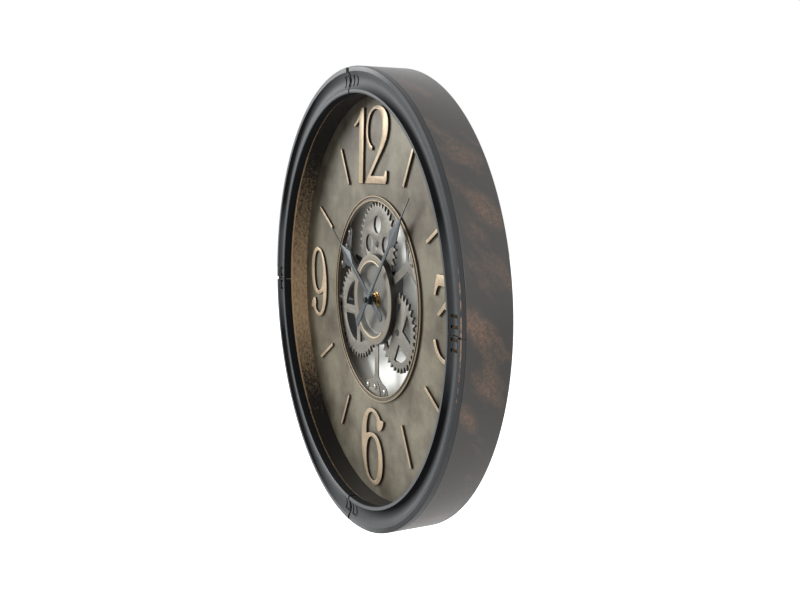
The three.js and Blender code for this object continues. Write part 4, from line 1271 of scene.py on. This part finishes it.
fit(eased_copy("drive_switch", 0.2), "switch", "steel", zinc, "drive_switch")

# A cell is a drawn steel can in a shrink sleeve, with its nub and both ends bare.
sleeve = new_finish("shrink_sleeve_cell")
where = add(sleeve, "ShaderNodeTexCoord")
facing = add(sleeve, "ShaderNodeSeparateXYZ", {0: where.outputs["Normal"]})
upright = add(sleeve, "ShaderNodeMath", {0: facing.outputs[2]}, operation="ABSOLUTE")
bare = add(sleeve, "ShaderNodeMath", {0: upright.outputs[0], 1: 0.7}, operation="GREATER_THAN")
grain = add(
    sleeve,
    "ShaderNodeTexNoise",
    {"Vector": where.outputs["Object"], "Scale": 1000 / 8.33, "Detail": 2.0},
)
film = add(
    sleeve,
    "ShaderNodeMix",
    {0: grain.outputs[0], 6: linear("#34463f"), 7: linear("#41564d")},
    data_type="RGBA",
)
colour = add(
    sleeve,
    "ShaderNodeMix",
    {0: bare.outputs[0], 6: film.outputs[2], 7: linear("#b7b7b2")},
    data_type="RGBA",
)
shader = add(
    sleeve,
    "ShaderNodeBsdfPrincipled",
    {"Base Color": colour.outputs[2], "Roughness": 0.3, "Metallic": bare.outputs[0]},
)
add(sleeve, "ShaderNodeOutputMaterial", {"Surface": shader.outputs[0]})
fit(eased_copy("movement_battery", 0.4), "clock", "cell_wrap", sleeve, "movement_battery")
fit(eased_copy("drive_battery", 0.5), "clock", "cell_wrap", sleeve, "drive_battery")


# The hands are stamped from thin steel with a lance blade and a needle, painted a
# satin blue grey. A small black cap closes the minute hand's shaft.
hand_paint = gilded("blue_grey_hand_paint", "#41474b", "#1e2123", 0.2, 0.8)
fit(eased_copy("hour_hand", 0.2), "hour", "hand_grey", hand_paint, "hour_hand")
fit(eased_copy("minute_hand", 0.2), "minute", "hand_grey", hand_paint, "minute_hand")
fit(eased_copy("hand_cap", 0.25), "minute", "black_steel", black_steel, "hand_cap")


# The hanger is a strip of blackened steel across the top of the back, with a keyhole
# that drops over a screw in the wall.
fit(eased_copy("hanger", 0.2), "clock", "black_steel", black_steel, "hanger")


# A sheet of white wall close behind the clock shows through its open centre, greyer
# to the left, where the clock shades it. It is seen from the front alone and stops no
# light, so the clock's back can be looked at too.
bpy.ops.object.select_all(action="DESELECT")
bpy.ops.mesh.primitive_circle_add(
    vertices=96,
    radius=(HEM - 2.8) / 1000,
    fill_type="NGON",
    location=(0, (FRONT + DEPTH + 0.5) / 1000, 0),
    rotation=(math.radians(90), 0, 0),
)
wall = bpy.context.object
wall.name = "wall_patch"
plaster = new_finish("white_wall")
turned_away = add(plaster, "ShaderNodeNewGeometry").outputs["Backfacing"]
place = add(plaster, "ShaderNodeTexCoord").outputs["Object"]
axes = add(plaster, "ShaderNodeSeparateXYZ", {0: place})
shaded = add(
    plaster,
    "ShaderNodeMapRange",
    {"Value": axes.outputs[0], "From Min": -0.115, "From Max": -0.045},
    interpolation_type="SMOOTHSTEP",
)
tone = add(
    plaster,
    "ShaderNodeMix",
    {0: shaded.outputs[0], 6: linear("#8a8985"), 7: linear("#f1f2ee")},
    data_type="RGBA",
)
white = add(plaster, "ShaderNodeBsdfDiffuse", {"Color": tone.outputs[2]})
clear = add(plaster, "ShaderNodeBsdfTransparent")
seen = add(plaster, "ShaderNodeLightPath")
unseen = add(
    plaster,
    "ShaderNodeMath",
    {0: 1.0, 1: seen.outputs["Is Camera Ray"]},
    operation="SUBTRACT",
)
open_share = add(plaster, "ShaderNodeMath", {0: turned_away, 1: unseen.outputs[0]}, operation="MAXIMUM")
one_sided = add(
    plaster,
    "ShaderNodeMixShader",
    {0: open_share.outputs[0], 1: white.outputs[0], 2: clear.outputs[0]},
)
add(plaster, "ShaderNodeOutputMaterial", {"Surface": one_sided.outputs[0]})
wall.data.materials.append(plaster)
wall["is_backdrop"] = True

# The studio has a pale floor that fades to white for the camera and keeps the shadow.
bpy.ops.object.select_all(action="DESELECT")
bpy.ops.mesh.primitive_plane_add(size=12, location=(0, 0, -0.62))
floor = bpy.context.object
floor.name = "studio_floor"
pale = new_finish("pale_floor")
seen = add(pale, "ShaderNodeLightPath")
matt = add(pale, "ShaderNodeBsdfDiffuse", {"Color": linear("#ededeb")})
glow = add(
    pale,
    "ShaderNodeEmission",
    {"Color": (1, 1, 1, 1), "Strength": seen.outputs["Is Camera Ray"]},
)
both = add(pale, "ShaderNodeAddShader", {0: matt.outputs[0], 1: glow.outputs[0]})
add(pale, "ShaderNodeOutputMaterial", {"Surface": both.outputs[0]})
floor.data.materials.append(pale)
floor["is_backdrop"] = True

world = bpy.data.worlds.new("studio")
bpy.context.scene.world = world
world.use_nodes = True
world.node_tree.nodes.clear()
seen = add(world, "ShaderNodeLightPath")
direct = add(
    world,
    "ShaderNodeMath",
    {0: seen.outputs["Is Camera Ray"], 1: seen.outputs["Is Transmission Ray"]},
    operation="MAXIMUM",
)
strength = add(world, "ShaderNodeMapRange", {"Value": direct.outputs[0], "To Min": 0.5, "To Max": 1.0})
mirrored = add(
    world,
    "ShaderNodeMath",
    {0: seen.outputs["Is Glossy Ray"], 1: 0.4, 2: strength.outputs[0]},
    operation="MULTIPLY_ADD",
)
sky = add(world, "ShaderNodeBackground", {"Color": (1, 1, 1, 1), "Strength": mirrored.outputs[0]})
add(world, "ShaderNodeOutputWorld", {"Surface": sky.outputs[0]})

# A large soft lamp stands to the left in front and a weaker one stands to the right,
# which lights the drum's side and the liner's far wall.
for name, spot, size, energy in (
    ("key", (-1.5, -1.55, 0.8), 1.4, 72),
    ("fill", (1.7, -1.1, 0.5), 1.0, 12),
):
    lamp = bpy.data.lights.new(name, "AREA")
    lamp.shape = "DISK"
    lamp.size = size
    lamp.energy = energy
    stand = bpy.data.objects.new(name, lamp)
    bpy.context.scene.collection.objects.link(stand)
    stand.location = spot
    stand.rotation_euler = (-stand.location).to_track_quat("-Z", "Y").to_euler()

# A black flag stands far to the left, outside the picture, and darkens what the
# clock's front reflects at its middle height.
bpy.ops.object.select_all(action="DESELECT")
bpy.ops.mesh.primitive_plane_add(
    size=1,
    location=(-3.0, -1.12, -0.2),
    rotation=(0, math.radians(90), 0),
    scale=(0.82, 1.4, 1),
)
flag = bpy.context.object
flag.name = "studio_flag"
felt = new_finish("black_felt")
cloth = add(felt, "ShaderNodeBsdfDiffuse", {"Color": (0.01, 0.01, 0.01, 1)})
add(felt, "ShaderNodeOutputMaterial", {"Surface": cloth.outputs[0]})
flag.data.materials.append(felt)
flag.visible_camera = False
flag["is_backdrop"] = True

# The camera stands to the right of the clock and a little above it.
lens = bpy.data.cameras.new("camera")
lens.sensor_width = 36
lens.lens = 41.3
camera = bpy.data.objects.new("camera", lens)
bpy.context.scene.collection.objects.link(camera)
camera.location = (0.8467, -0.3736, 0.1303)
camera.rotation_euler = [math.radians(turn) for turn in (81.974, -0.389, 64.402)]
bpy.context.scene.camera = camera

low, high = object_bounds()
